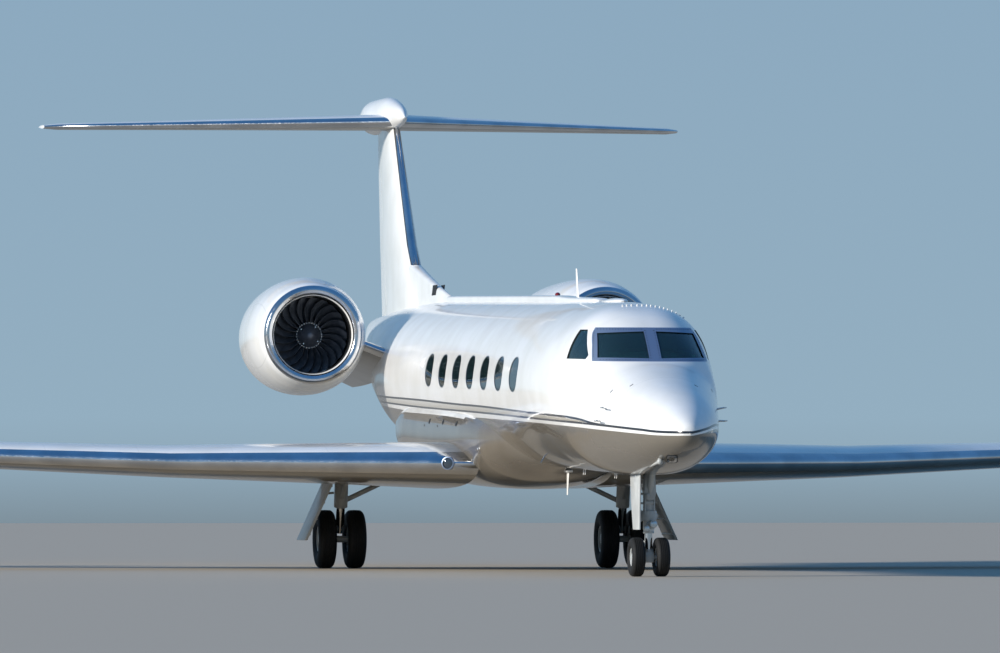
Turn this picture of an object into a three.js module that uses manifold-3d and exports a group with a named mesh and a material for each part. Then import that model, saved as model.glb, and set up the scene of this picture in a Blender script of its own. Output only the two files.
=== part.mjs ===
// Business jet parked on its gear: low swept wing with winglets, T-tail, two engines on the
// rear fuselage. Millimetres, +Z up, nose toward -Y, port side at +X.
// Stations are millimetres aft of the nose tip; the whole is centred on its length at the end.
import * as THREE from 'three';
import { mergeVertices } from 'three/addons/utils/BufferGeometryUtils.js';
import Module from 'manifold-3d';

const wasm = await Module();
wasm.setup();
const { Manifold, Mesh: SolidMesh } = wasm;

// Overall sizes
const LENGTH = 29390;
const HALF_LENGTH = LENGTH / 2;
const GAP = 0.3;

// Fuselage, in its own frame before it is leaned nose down on its gear
const LEAN = 0.0235;
const LEAN_PIVOT = 3630;
const AXIS_Z = 2575;
const RADIUS = 1195;
const WALL = 100;
const FLOOR_Z = 1805;
const RING = 32;
const RADOME_END = 950;
const COCKPIT_END = 4560;
const CABIN_END = 18300;
const TAIL_END = 26900;
const BULKHEAD = 2250;
const REAR_BULKHEAD = 17600;

// Cabin windows and entry door
const WINDOW_STATIONS = [7010, 8240, 9470, 10700, 11930, 13170, 14400];
const WINDOW_Z = 2735;
const WINDOW_HALF_LENGTH = 330;
const WINDOW_HALF_HEIGHT = 250;
const DOOR_FRONT = 4620;
const DOOR_REAR = 5540;
const DOOR_FOOT = 1826;
const DOOR_HEAD = 3390;
const DOOR_GAP = 14;
const DOOR_PIN = 9;
const HINGE_Z = 1857;

// Landing gear
const NOSE_GEAR = 3000;
const MAIN_GEAR = 16720;
const MAIN_X = 2185;
const NOSE_TYRE = { radius: 266.7, bore: 128, width: 184, spacing: 345, sides: 22 };
const MAIN_TYRE = { radius: 444.5, bore: 204, width: 279, spacing: 456, sides: 26 };
const NOSE_PISTON_TOP = 640;
const MAIN_LEG_RADIUS = 105;

// Engines
const ENGINE_X = 2310;
const ENGINE_Z = 3600;
const ENGINE_LIP = 18600;
const ENGINE_SIDES = 24;
const FAN_RADIUS = 597;
const FAN_BLADES = 22;

// Wing: x, leading edge station, leading edge z, chord, thickness ratio, incidence in degrees
const WING = [
  [1000, 10956, 1575, 6600, 0.100, 2.8],
  [5200, 13379, 1608, 3960, 0.120, 1.8],
  [9000, 15572, 1745, 2960, 0.125, 1.1],
  [13000, 17880, 1890, 1870, 0.110, 0.4],
  [13800, 18342, 1920, 1650, 0.100, 0.0],
];

// Winglet: x, leading edge station, z, chord, thickness ratio, cant in degrees from level
const WINGLET = [
  [13800 + GAP, 18342, 1920, 1650, 0.100, 0],
  [13960, 18460, 1955, 1540, 0.098, 35],
  [14060, 18610, 2070, 1400, 0.090, 68],
  [14100, 18760, 2260, 1250, 0.085, 80],
  [14224, 19560, 3330, 620, 0.080, 83],
];

// Tailplane: x, leading edge station, leading edge z, chord, thickness ratio, incidence
const TAILPLANE = [
  [0, 24720, 7190, 2760, 0.10, -2.0],
  [260, 24900, 7190, 2640, 0.10, -2.0],
  [5150, 28180, 7230, 1200, 0.09, -2.0],
  [5360, 28530, 7240, 860.5, 0.07, -2.0],
];

// Fin: z, leading edge station, chord, thickness ratio
const FIN = [
  [3990, 21900, 4530, 0.075],
  [4700, 22700, 3850, 0.085],
  [5150, 23270, 3370, 0.095],
  [7150, 24940, 1990, 0.100],
];

const MATERIALS = {
  white_paint: [0xf2f2ef, 0.25, 0.0],
  belly_paint: [0xb9b4aa, 0.3, 0.0],
  bare_metal: [0xc9ccd0, 0.2, 1.0],
  frame_metal: [0x8f9bab, 0.45, 0.8],
  glass: [0x14242a, 0.08, 0.0],
  tyre: [0x1b1c1e, 0.85, 0.0],
  gear_paint: [0xc6c8c6, 0.45, 0.2],
  dark_metal: [0x2b2d30, 0.5, 0.8],
  interior: [0xb8ab97, 0.8, 0.0],
};

function rad(degrees) {
  return (degrees * Math.PI) / 180;
}

// A closed solid from points and faces, turned so that its faces look outward
function closed(points, faces) {
  let volume = 0;
  for (const [a, b, c] of faces) {
    const [p, q, r] = [points[a], points[b], points[c]];
    volume += p[0] * (q[1] * r[2] - q[2] * r[1]);
    volume += p[1] * (q[2] * r[0] - q[0] * r[2]);
    volume += p[2] * (q[0] * r[1] - q[1] * r[0]);
  }
  const geometry = new THREE.BufferGeometry();
  geometry.setAttribute('position', new THREE.Float32BufferAttribute(points.flat(), 3));
  geometry.setIndex(volume < 0 ? faces.map(([a, b, c]) => [a, c, b]).flat() : faces.flat());
  return solid(geometry);
}

function solid(geometry) {
  const welded = mergeVertices(geometry, 1e-4);
  const vertProperties = new Float32Array(welded.attributes.position.array);
  const triVerts = new Uint32Array(welded.index.array);
  return new Manifold(new SolidMesh({ numProp: 3, vertProperties, triVerts }));
}

// Skin over rings with the same number of points, closed flat at both ends
function loft(rings) {
  const size = rings[0].length;
  const points = rings.flat();
  const faces = [];
  for (let k = 0; k + 1 < rings.length; k += 1) {
    for (let i = 0; i < size; i += 1) {
      const a = k * size + i;
      const b = k * size + ((i + 1) % size);
      faces.push([a, b, b + size], [a, b + size, a + size]);
    }
  }
  for (const [base, front] of [[0, true], [(rings.length - 1) * size, false]]) {
    for (let i = 0, j = size - 1; i < j - 1; i += 1, j -= 1) {
      const cap = [[base + i, base + i + 1, base + j]];
      if (i + 1 < j - 1) cap.push([base + i + 1, base + j - 1, base + j]);
      for (const [a, b, c] of cap) faces.push(front ? [a, c, b] : [a, b, c]);
    }
  }
  return closed(points, faces);
}

// A profile of [radius, distance] turned about an axis through a point
function spin(profile, [cx, cy, cz], axis, sides, turn = 0) {
  const points = [];
  const rows = profile.map(([r, d]) => {
    const row = [];
    for (let i = 0; i < (r === 0 ? 1 : sides); i += 1) {
      const t = turn + (2 * Math.PI * i) / sides;
      const [u, v] = [r * Math.cos(t), r * Math.sin(t)];
      row.push(points.length);
      if (axis === 'x') points.push([cx + d, cy + u, cz + v]);
      if (axis === 'y') points.push([cx + u, cy + d, cz + v]);
      if (axis === 'z') points.push([cx + u, cy + v, cz + d]);
    }
    return row;
  });
  const faces = [];
  const onAxis = profile[0][0] === 0;
  const count = onAxis ? rows.length - 1 : rows.length;
  for (let k = 0; k < count; k += 1) {
    const [p, q] = [rows[k], rows[(k + 1) % rows.length]];
    for (let i = 0; i < sides; i += 1) {
      const j = (i + 1) % sides;
      if (p.length > 1) faces.push([p[i], p[j], q[q.length > 1 ? j : 0]]);
      if (q.length > 1) faces.push([p[p.length > 1 ? i : 0], q[j], q[i]]);
    }
  }
  return closed(points, faces);
}

// A round bar, tapered where the two radii differ
function rod(from, to, r0, r1 = r0, sides = 12) {
  const a = new THREE.Vector3(...from);
  const b = new THREE.Vector3(...to);
  const along = b.clone().sub(a).normalize();
  const side = new THREE.Vector3(0, 0, 1).cross(along);
  if (side.length() < 0.1) side.set(1, 0, 0);
  side.normalize();
  const up = along.clone().cross(side);
  const ring = (c, r) => Array.from({ length: sides }, (_, i) => {
    const t = (2 * Math.PI * (i + 0.5)) / sides;
    return c.clone().addScaledVector(side, r * Math.cos(t)).addScaledVector(up, r * Math.sin(t)).toArray();
  });
  return loft([ring(a, r0), ring(b, r1)]);
}

// Bore that a round axle of this radius turns in freely
function bored(radius) {
  return (radius + 0.5) / Math.cos(Math.PI / 16);
}

function box(x0, x1, y0, y1, z0, z1) {
  return loft([z0, z1].map((z) => [[x0, y0, z], [x1, y0, z], [x1, y1, z], [x0, y1, z]]));
}

// A flat outline pushed along one axis; the outline gives the other two in x, y, z order
function prism(shape, axis, from, to) {
  const place = (d, [u, v]) => {
    if (axis === 'x') return [d, u, v];
    return axis === 'y' ? [u, d, v] : [u, v, d];
  };
  const flat = (list) => list.map(([u, v]) => new THREE.Vector2(u, v));
  const outline = THREE.ShapeUtils.area(flat(shape)) < 0 ? [...shape].reverse() : shape;
  const size = outline.length;
  const points = [...outline.map((p) => place(from, p)), ...outline.map((p) => place(to, p))];
  const faces = [];
  for (const [a, b, c] of THREE.ShapeUtils.triangulateShape(flat(outline), [])) {
    const turned = THREE.ShapeUtils.area(flat([outline[a], outline[b], outline[c]])) < 0;
    const [q, r] = turned ? [c, b] : [b, c];
    faces.push([a, r, q], [a + size, q + size, r + size]);
  }
  for (let i = 0; i < size; i += 1) {
    const j = (i + 1) % size;
    faces.push([i, j, j + size], [i, j + size, i + size]);
  }
  return closed(points, faces);
}

function lean(body) {
  return body.warp((v) => {
    v[2] += LEAN * (v[1] - LEAN_PIVOT);
  });
}

function leaned(s, z) {
  return z + LEAN * (s - LEAN_PIVOT);
}

function mirror(body) {
  return body.mirror([1, 0, 0]);
}

// Smooth value between the rows of a table, by its first column, with no overshoot
function between(table, s) {
  let k = 0;
  while (k + 2 < table.length && s > table[k + 1][0]) k += 1;
  const [a, b] = [table[k], table[k + 1]];
  const before = table[Math.max(0, k - 1)];
  const after = table[Math.min(table.length - 1, k + 2)];
  const step = b[0] - a[0];
  const t = (s - a[0]) / step;
  const blend = (d0, d1) => (d0 * d1 > 0 ? (2 * d0 * d1) / (d0 + d1) : 0);
  return a.map((value, c) => {
    const slope = (b[c] - value) / step;
    const back = a === before ? slope : (value - before[c]) / (a[0] - before[0]);
    const ahead = b === after ? slope : (after[c] - b[c]) / (after[0] - b[0]);
    const [m0, m1] = [blend(back, slope) * step, blend(slope, ahead) * step];
    const [t2, t3] = [t * t, t * t * t];
    return (2 * t3 - 3 * t2 + 1) * value + (t3 - 2 * t2 + t) * m0 + (3 * t2 - 2 * t3) * b[c] + (t3 - t2) * m1;
  });
}

// Body sections: station, half width, top z, bottom z, widest z, and the roundness above and below
// the widest line (2 is an ellipse)
const BODY = [
  [0, 8, 2023, 2007, 2015, 2.0, 2.0],
  [40, 105, 2115, 1912, 2012, 2.0, 2.0],
  [150, 205, 2200, 1832, 2010, 2.0, 2.0],
  [400, 350, 2330, 1745, 2020, 2.05, 2.05],
  [950, 552, 2548, 1600, 2060, 2.1, 2.1],
  [1600, 700, 2720, 1490, 2110, 2.15, 2.15],
  [2250, 822, 2898, 1430, 2180, 2.25, 2.25],
  [2440, 855, 2960, 1419, 2204, 2.35, 2.31],
  [2700, 900, 3185, 1408, 2240, 2.6, 2.4],
  [2960, 934, 3386, 1400, 2280, 2.5, 2.46],
  [3340, 986, 3588, 1391, 2338, 2.5, 2.48],
  [3700, 1030, 3680, 1385, 2391, 2.6, 2.42],
  [4150, 1090, 3742, 1381, 2462, 2.35, 2.24],
  [4900, 1155, 3766, 1380, 2545, 2.08, 2.08],
  [5600, 1186, 3770, 1380, 2570, 2.0, 2.0],
  [6300, 1195, 3770, 1380, 2575, 2.0, 2.0],
  [18000, 1195, 3770, 1380, 2575, 2.0, 2.0],
  [19500, 1160, 3762, 1450, 2595, 2.0, 2.0],
  [21000, 1040, 3735, 1690, 2690, 2.0, 2.0],
  [23000, 800, 3665, 2150, 2880, 2.0, 2.0],
  [25000, 510, 3575, 2690, 3120, 2.0, 2.0],
  [26400, 270, 3500, 3060, 3280, 2.0, 2.0],
  [26900, 175, 3460, 3150, 3305, 2.0, 2.0],
];

function bodyRing(s, inset) {
  const [, halfWidth, top, bottom, middle, above, below] = between(BODY, s);
  return Array.from({ length: RING }, (_, i) => {
    const t = (2 * Math.PI * (i + 0.5)) / RING;
    const spread = (v) => Math.sign(v) * Math.abs(v) ** (2 / (Math.cos(t) > 0 ? above : below));
    const half = Math.cos(t) > 0 ? top - middle - inset : middle - bottom - inset;
    return [(halfWidth - inset) * spread(Math.sin(t)), s, middle + half * spread(Math.cos(t))];
  });
}

// Every stretch of the body uses these same ring stations, so that its pieces share facets
const RING_STATIONS = [...BODY.map(([s]) => s), COCKPIT_END, CABIN_END].sort((a, b) => a - b);

function bodyLoft(from, to, inset, over = 0) {
  const middle = RING_STATIONS.filter((s) => s > from + 1 && s < to - 1);
  const shift = (ring, d) => ring.map(([x, s, z]) => [x, s + d, z]);
  return loft([
    shift(bodyRing(from, inset), -over),
    ...middle.map((s) => bodyRing(s, inset)),
    shift(bodyRing(to, inset), over),
  ]);
}

// Radome, cockpit, cabin and tail, with the hollow above the floor
const radome = bodyLoft(0, RADOME_END, 0);
const hollow = bodyLoft(BULKHEAD, REAR_BULKHEAD, WALL)
  .intersect(box(-1300, 1300, 0, 20000, FLOOR_Z, 4000));
const NOSE_BAY = 245;
const noseBay = box(-NOSE_BAY, NOSE_BAY, 2560, 3420, 1200, 1720);
let cockpit = bodyLoft(RADOME_END + GAP, COCKPIT_END, 0).subtract(hollow).subtract(noseBay);
let cabin = bodyLoft(COCKPIT_END + GAP, CABIN_END, 0).subtract(hollow);
const tailCone = bodyLoft(CABIN_END + GAP, TAIL_END, 0)
  .subtract(bodyLoft(CABIN_END + GAP, 23000, WALL, 1))
  .subtract(spin([[0, -400], [120, -400], [135, 10], [0, 10]], [0, TAIL_END, 3305], 'y', 16));

// Windscreen: a bare metal frame let into the cockpit's skin, with the panes behind it. The side
// panes are cut in the painted skin behind a narrow post.
const FRAME_DEPTH = 40;
const GLASS_DEPTH = 25;
const BAND = [[2350, 2953], [2921, 2953], [3154, 3175], [3371, 3339], [3425, 3412], [2350, 3418]];
const FRONT_PANE = [[84, 2994], [740, 3008], [669, 3350], [84, 3369]];
const SIDE_PANE = [[3120, 2978], [3809, 2980], [3786, 3381], [3548, 3382], [3087, 3032]];
const GLASS_BAND = [[2350, 2953], [3880, 2953], [3850, 3412], [2350, 3418]];
const skin = bodyLoft(2250, 4900, 0).subtract(bodyLoft(2250, 4900, FRAME_DEPTH, 1));
const glassSkin = bodyLoft(2250, 4900, FRAME_DEPTH + GAP)
  .subtract(bodyLoft(2250, 4900, FRAME_DEPTH + GLASS_DEPTH, 1));
const shrunk = (shape) => shape.map(([s, z]) => [s + (s > 2900 ? -GAP : GAP), z + (z > 3400 ? -GAP : GAP)]);
const frontPane = prism(FRONT_PANE, 'y', 2300, 3800);
const sidePane = prism(SIDE_PANE, 'x', 500, 1400);
const windscreenFrame = skin.intersect(prism(shrunk(BAND), 'x', -1390, 1390))
  .subtract(frontPane).subtract(mirror(frontPane));
const windscreenGlass = glassSkin.intersect(prism(shrunk(GLASS_BAND), 'x', -1390, 1390));
cockpit = cockpit.subtract(prism(BAND, 'x', -1400, 1400)).subtract(sidePane).subtract(mirror(sidePane))
  .subtract(prism(GLASS_BAND, 'x', -1400, 1400).intersect(bodyLoft(2250, 4900, FRAME_DEPTH)));

// Cabin windows and entry door opening
function oval(s, grow) {
  return Array.from({ length: 20 }, (_, i) => {
    const t = (2 * Math.PI * (i + 0.5)) / 20;
    const spread = (v) => Math.sign(v) * Math.abs(v) ** 0.86;
    return [
      s + (WINDOW_HALF_LENGTH + grow) * spread(Math.cos(t)),
      WINDOW_Z + (WINDOW_HALF_HEIGHT + grow) * spread(Math.sin(t)),
    ];
  });
}
for (const s of WINDOW_STATIONS) cabin = cabin.subtract(prism(oval(s, 0), 'x', -1300, 1300));
const doorCut = box(600, 1300, DOOR_FRONT, DOOR_REAR, DOOR_FOOT, DOOR_HEAD);
const doorSlab = box(600, 1300, DOOR_FRONT + DOOR_GAP, DOOR_REAR - DOOR_GAP, DOOR_FOOT + 22, DOOR_HEAD - DOOR_GAP);
let door = bodyLoft(4350, 6300, 0).subtract(bodyLoft(4350, 6300, WALL, 1)).intersect(doorSlab);
cabin = cabin.subtract(doorCut);

// The door's foot turns on pins just inside its outer lower edge
function sideX(s, z) {
  const ring = bodyRing(s, 0);
  for (let i = 0; i + 1 < ring.length / 2; i += 1) {
    const [p, q] = [ring[i], ring[i + 1]];
    if ((p[2] - z) * (q[2] - z) <= 0) return p[0] + ((z - p[2]) / (q[2] - p[2])) * (q[0] - p[0]);
  }
  return 0;
}
const frontX = sideX(4560, HINGE_Z);
const rearX = sideX(5600, HINGE_Z);
const midX = sideX(4900, HINGE_Z);
const hingeX = (s) => Math.min(
  frontX + ((s - 4560) / 340) * (midX - frontX),
  midX + ((s - 4900) / 700) * (rearX - midX),
) - DOOR_PIN - 2;
const doorHinge = (s) => [hingeX(DOOR_FRONT) + ((s - DOOR_FRONT) / (DOOR_REAR - DOOR_FRONT))
  * (hingeX(DOOR_REAR) - hingeX(DOOR_FRONT)), s, HINGE_Z];
door = door
  .add(rod(doorHinge(DOOR_FRONT + 0.8), doorHinge(DOOR_FRONT + DOOR_GAP + 60), DOOR_PIN, DOOR_PIN, 10))
  .add(rod(doorHinge(DOOR_REAR - DOOR_GAP - 60), doorHinge(DOOR_REAR - 0.8), DOOR_PIN, DOOR_PIN, 10));

// Steps of the entry stair on the door's inner face: height of each tread's foot. They slope up
// from the door while it is shut, so that they lie level once it has swung down.
const TREADS = [2010, 2270, 2530, 2790, 3050];
const TREAD_SLOPE = 40;
for (const z of TREADS) {
  const wallX = Math.sqrt((RADIUS - WALL) ** 2 - (z - AXIS_Z) ** 2);
  const [run, rise] = [Math.cos(rad(TREAD_SLOPE)), Math.sin(rad(TREAD_SLOPE))];
  const at = (along, up) => [wallX + 30 - along * run + up * rise, z + along * rise + up * run];
  const tread = prism([at(0, 0), at(240, 0), at(240, 34), at(0, 34)], 'y', DOOR_FRONT + 90, DOOR_REAR - 90);
  door = door.add(tread.intersect(bodyLoft(4350, 6300, WALL - 20)));
}

// Glass strips behind the cabin windows, one each side
function glassStrip() {
  const shell = bodyLoft(6560, 14850, WALL + GAP).subtract(bodyLoft(6560, 14850, WALL + 20, 1));
  return shell.intersect(box(0, 1300, 6560, 14850, WINDOW_Z - 290, WINDOW_Z + 290));
}

// Glareshield across the cockpit below the windscreen
const glareshield = prism(
  [[2580, 1900], [2900, 1900], [2960, 2760], [3240, 2900], [3300, 3070], [3250, 3105], [2640, 2950], [2580, 2900]],
  'x', -1000, 1000,
).intersect(bodyLoft(2250, 3700, WALL + GAP)).intersect(box(-1000, 1000, 2500, 3400, FLOOR_Z + GAP, 3200));

// Aerofoil ring: chord along +Y, raised along the unit direction given for its thickness
function foil(chord, ratio, count, camber, grow = 0) {
  const half = (x) => {
    const root = 0.2969 * Math.sqrt(x) - 0.126 * x - 0.3516 * x * x + 0.2843 * x ** 3 - 0.1015 * x ** 4;
    return 5 * ratio * root * chord + grow;
  };
  const bow = (x) => (x < 0.4 ? camber * (2 * 0.4 * x - x * x) / 0.16 : camber * (0.2 + 0.8 * x - x * x) / 0.36);
  const ring = [];
  for (let i = 0; i <= count; i += 1) {
    const x = (1 + Math.cos((Math.PI * i) / count)) / 2;
    ring.push([x * chord + (i === 0 ? grow : 0), bow(x) * chord + (i === count ? 0 : half(x))]);
  }
  ring[count] = [-grow, 0];
  for (let i = count - 1; i >= 0; i -= 1) {
    const x = (1 + Math.cos((Math.PI * i) / count)) / 2;
    ring.push([x * chord + (i === 0 ? grow : 0), bow(x) * chord - half(x)]);
  }
  return ring;
}

const WING_POINTS = 10;
const WING_CAMBER = 0.014;

function wingRing([x, s, z, chord, ratio, incidence], grow = 0, points = WING_POINTS, camber = WING_CAMBER) {
  const [c, n] = [Math.cos(rad(incidence)), Math.sin(rad(incidence))];
  return foil(chord, ratio, points, camber, grow).map(([u, v]) => [x, s + u * c + v * n, z - u * n + v * c]);
}

function rowAt(table, x) {
  let k = 0;
  while (k + 2 < table.length && x > table[k + 1][0]) k += 1;
  const t = (x - table[k][0]) / (table[k + 1][0] - table[k][0]);
  return table[k].map((value, i) => value + t * (table[k + 1][i] - value));
}

// Point inside a surface at a chord station: middle height and half thickness
function inside(table, x, s, camber) {
  const row = rowAt(table, x);
  const u = (s - row[1]) / row[3];
  const ring = foil(row[3], row[4], 40, camber);
  let best = 0;
  const miss = (i) => Math.abs(ring[i][0] / row[3] - u);
  for (let i = 0; i <= 40; i += 1) if (miss(i) < miss(best)) best = i;
  const [top, low] = [ring[best][1], ring[80 - best][1]];
  const drop = (s - row[1]) * Math.tan(rad(row[5]));
  return { z: row[2] - drop + (top + low) / 2, half: (top - low) / 2 };
}

let wing = loft(WING.map((row) => wingRing(row)));
const wingGrown = loft([[WING[0][0] - GAP, ...WING[0].slice(1)], ...WING.slice(1)]
  .map((row) => wingRing(row, GAP)));

// A hinged trailing piece: hinge line from a to b in plan, ends square to the hinge
function hinged(body, table, a, b, camber, reach, gap, low) {
  const length = Math.hypot(b[0] - a[0], b[1] - a[1]);
  const [ux, uy] = [(b[0] - a[0]) / length, (b[1] - a[1]) / length];
  const at = (along, aft) => [a[0] + ux * along - uy * aft, a[1] + uy * along + ux * aft];
  const region = (e, front) => [
    at(-e, front), at(length + e, front), at(length + e, reach), at(-e, reach),
  ];
  const pa = inside(table, a[0], a[1], camber);
  const pb = inside(table, b[0], b[1], camber);
  const za = low ? pa.z - pa.half : pa.z;
  const zb = low ? pb.z - pb.half : pb.z;
  const [z0, z1] = [Math.min(za, zb) - 900, Math.max(za, zb) + 900];
  const pin = low ? 5 : 14;
  const lift = low ? 4 : 0;
  const tilt = (zb - za) / length;
  const end = (p, z, d) => [p[0] + ux * d, p[1] + uy * d, z + tilt * d + lift];
  let piece = body.intersect(prism(region(0, 0), 'z', z0, z1));
  let rest = body.subtract(prism(region(gap, low ? -gap : -2), 'z', z0, z1));
  if (!low) {
    const shrink = 0.985;
    const nose = rod([...a, za], [...b, zb], pa.half * shrink, pb.half * shrink, 14);
    piece = piece.add(nose);
    const wide = rod([a[0] - ux * gap, a[1] - uy * gap, za], [b[0] + ux * gap, b[1] + uy * gap, zb],
      pa.half + gap, pb.half + gap, 14);
    rest = rest.subtract(wide);
  }
  piece = piece.add(rod(end(a, za, GAP - gap + 0.4), end(a, za, 40), pin, pin, 8))
    .add(rod(end(b, zb, -40), end(b, zb, gap - GAP - 0.4), pin, pin, 8));
  return { piece, rest, from: end(a, za, 0), to: end(b, zb, 0) };
}

const HINGES = {};
function takeFromWing(name, a, b, reach, gap, low) {
  const result = hinged(wing, WING, a, b, WING_CAMBER, reach, gap, low);
  wing = result.rest;
  HINGES[name] = [result.from, result.to];
  return result.piece;
}
// Hinge lines in plan: inboard end, outboard end
const flapInner = takeFromWing('flap_inner', [1720, 16860], [5060, 16470], 1500, 10, true);
const flapOuter = takeFromWing('flap_outer', [5330, 16480], [8930, 17800], 1500, 10, true);
const aileron = takeFromWing('aileron', [9320, 17990], [12700, 19160], 1200, 10, false);

// Spoiler: a thin lid in the wing's top skin ahead of the outboard flap
const SPOILER = { inner: [5520, 15900], outer: [8760, 17090], chord: 560, depth: 40 };
function lid({ inner, outer, chord, depth }, e, sink) {
  const length = Math.hypot(outer[0] - inner[0], outer[1] - inner[1]);
  const [ux, uy] = [(outer[0] - inner[0]) / length, (outer[1] - inner[1]) / length];
  const at = (along, aft) => [inner[0] + ux * along - uy * aft, inner[1] + uy * along + ux * aft];
  const corners = [at(-e, -e), at(length + e, -e), at(length + e, chord + e), at(-e, chord + e)];
  const ring = (down) => corners.map(([x, s]) => {
    const place = inside(WING, x, s, WING_CAMBER);
    return [x, s, place.z + place.half + down];
  });
  return loft([ring(-depth - sink), ring(200)]);
}
const SPOILER_GAP = 14;
const SPOILER_SINK = 11;
const spoilerEnd = ([x, s], d) => {
  const { inner, outer } = SPOILER;
  const length = Math.hypot(outer[0] - inner[0], outer[1] - inner[1]);
  const skin = inside(WING, x, s, WING_CAMBER);
  const [ux, uy] = [(outer[0] - inner[0]) / length, (outer[1] - inner[1]) / length];
  return [x + ux * d, s + uy * d, skin.z + skin.half - SPOILER_SINK];
};
const lidPlain = wing.intersect(lid(SPOILER, 0, 0));
wing = wing.subtract(lid(SPOILER, SPOILER_GAP, 6));
const spoiler = lidPlain
  .add(rod(spoilerEnd(SPOILER.inner, GAP - SPOILER_GAP), spoilerEnd(SPOILER.inner, 60), 6, 6, 8))
  .add(rod(spoilerEnd(SPOILER.outer, -60), spoilerEnd(SPOILER.outer, SPOILER_GAP - GAP), 6, 6, 8));
HINGES.spoiler = [spoilerEnd(SPOILER.inner, 0), spoilerEnd(SPOILER.outer, 0)];

// Winglet, each ring canted about its own leading edge
const winglet = loft(WINGLET.map(([x, s, z, chord, ratio, cant]) => {
  const [c, n] = [Math.cos(rad(cant)), Math.sin(rad(cant))];
  return foil(chord, ratio, 7, 0).map(([u, v]) => [x - v * n, s + u, z + v * c]);
}));

// Belly fairing round the wing's root: station, half width, top z, bottom z, widest z, roundness
const FAIRING = [
  [8600, 300, 1900, 1440, 1650, 2.0],
  [9500, 900, 2200, 1290, 1780, 2.1],
  [10400, 1150, 2300, 1120, 1800, 2.3],
  [11800, 1225, 2340, 1010, 1820, 2.6],
  [14000, 1240, 2360, 990, 1820, 2.8],
  [16500, 1240, 2360, 1020, 1820, 2.8],
  [18000, 1120, 2300, 1180, 1820, 2.4],
  [19000, 800, 2150, 1380, 1820, 2.1],
  [19700, 300, 2100, 1560, 1850, 2.0],
];
function ovalRing([s, halfWidth, top, bottom, middle, power], sides) {
  const spread = (v) => Math.sign(v) * Math.abs(v) ** (2 / power);
  return Array.from({ length: sides }, (_, i) => {
    const t = (2 * Math.PI * (i + 0.5)) / sides;
    const half = Math.cos(t) > 0 ? top - middle : middle - bottom;
    return [halfWidth * spread(Math.sin(t)), s, middle + half * spread(Math.cos(t))];
  });
}
const fairing = lean(loft(FAIRING.map((row) => ovalRing(row, 28))).subtract(bodyLoft(6300, 21000, -GAP)))
  .subtract(wingGrown).subtract(mirror(wingGrown));

// Fin with its rudder, cut by the body and the bullet
function finRing([z, s, chord, ratio], grow = 0) {
  return foil(chord, ratio, 8, 0, grow).map(([u, v]) => [v, s + u, z]);
}
const bodyGrown = lean(bodyLoft(17000, TAIL_END, -GAP));
// Bullet: station, half width, top z, bottom z, widest z, roundness
const BULLET = [
  [24080, 10, 7245, 7225, 7235, 2],
  [24400, 95, 7400, 7150, 7270, 2],
  [25000, 175, 7540, 7090, 7310, 2],
  [25700, 215, 7635, 7070, 7340, 2],
  [27200, 215, 7650, 7080, 7370, 2],
  [28200, 110, 7560, 7230, 7400, 2],
  [28780, 30, 7490, 7400, 7445, 2],
];
const bulletWhole = loft(BULLET.map((row) => ovalRing(row, 20)));
const bulletGrown = loft(BULLET.map(([s, w, top, low, mid, p]) => ovalRing([s, w + GAP, top + GAP, low - GAP, mid, p], 20)));
const dorsal = loft([[19050, 20, 60], [20400, 60, 240], [21600, 80, 420], [23000, 110, 640]].map(([s, w, h]) => {
  const base = 4000;
  const top = leaned(s, 3740) + h;
  return [[-w, s, base], [-w, s, top - 60], [0, s, top], [w, s, top - 60], [w, s, base]];
}));
// Low spine along the crown from behind the cockpit to the dorsal: station, half width, height
const SPINE = [[6480, 60, 20], [6620, 120, 48], [8500, 150, 66], [9600, 150, 88], [19020, 150, 90]];
const spine = loft(SPINE.map(([s, w, h]) => {
  const top = leaned(s, 3770) + h;
  return [[-w, s, top - h - 60], [-w, s, top - 34], [-w * 0.55, s, top], [w * 0.55, s, top], [w, s, top - 34], [w, s, top - h - 60]];
})).subtract(lean(bodyLoft(5600, 19500, -GAP)));
const halfTailGrown = loft(TAILPLANE.map((row) => wingRing(row, GAP, 8, 0)));
const finWhole = loft(FIN.map((row) => finRing(row))).add(dorsal).subtract(bodyGrown).subtract(bulletGrown)
  .subtract(halfTailGrown).subtract(mirror(halfTailGrown));
const RUDDER_FOOT = 4230;
const RUDDER_HEAD = 6960;
const RUDDER_HINGE = [[25520, RUDDER_FOOT], [26320, RUDDER_HEAD]];
const RUDDER_GAP = 10;
function rudderRegion(e, front) {
  const [[s0, z0], [s1, z1]] = RUDDER_HINGE;
  const length = Math.hypot(s1 - s0, z1 - z0);
  const [us, uz] = [(s1 - s0) / length, (z1 - z0) / length];
  const at = (along, aft) => [s0 + us * along + uz * aft, z0 + uz * along - us * aft];
  return [at(-e, front), at(length + e, front), at(length + e, 2200), at(-e, 2200)];
}
const RUDDER_STOPS = [RUDDER_FOOT, 4700, 5150, RUDDER_HEAD];
const rudderHalf = RUDDER_STOPS.map((z) => {
  const [[s0], [s1]] = RUDDER_HINGE;
  const s = s0 + ((z - RUDDER_FOOT) / (RUDDER_HEAD - RUDDER_FOOT)) * (s1 - s0);
  let k = 0;
  while (k + 2 < FIN.length && z > FIN[k + 1][0]) k += 1;
  const t = (z - FIN[k][0]) / (FIN[k + 1][0] - FIN[k][0]);
  const row = FIN[k].map((value, i) => value + t * (FIN[k + 1][i] - value));
  const x = (s - row[1]) / row[2];
  const root = 0.2969 * Math.sqrt(x) - 0.126 * x - 0.3516 * x * x + 0.2843 * x ** 3 - 0.1015 * x ** 4;
  return [s, z, 5 * row[3] * root * row[2]];
});
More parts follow.
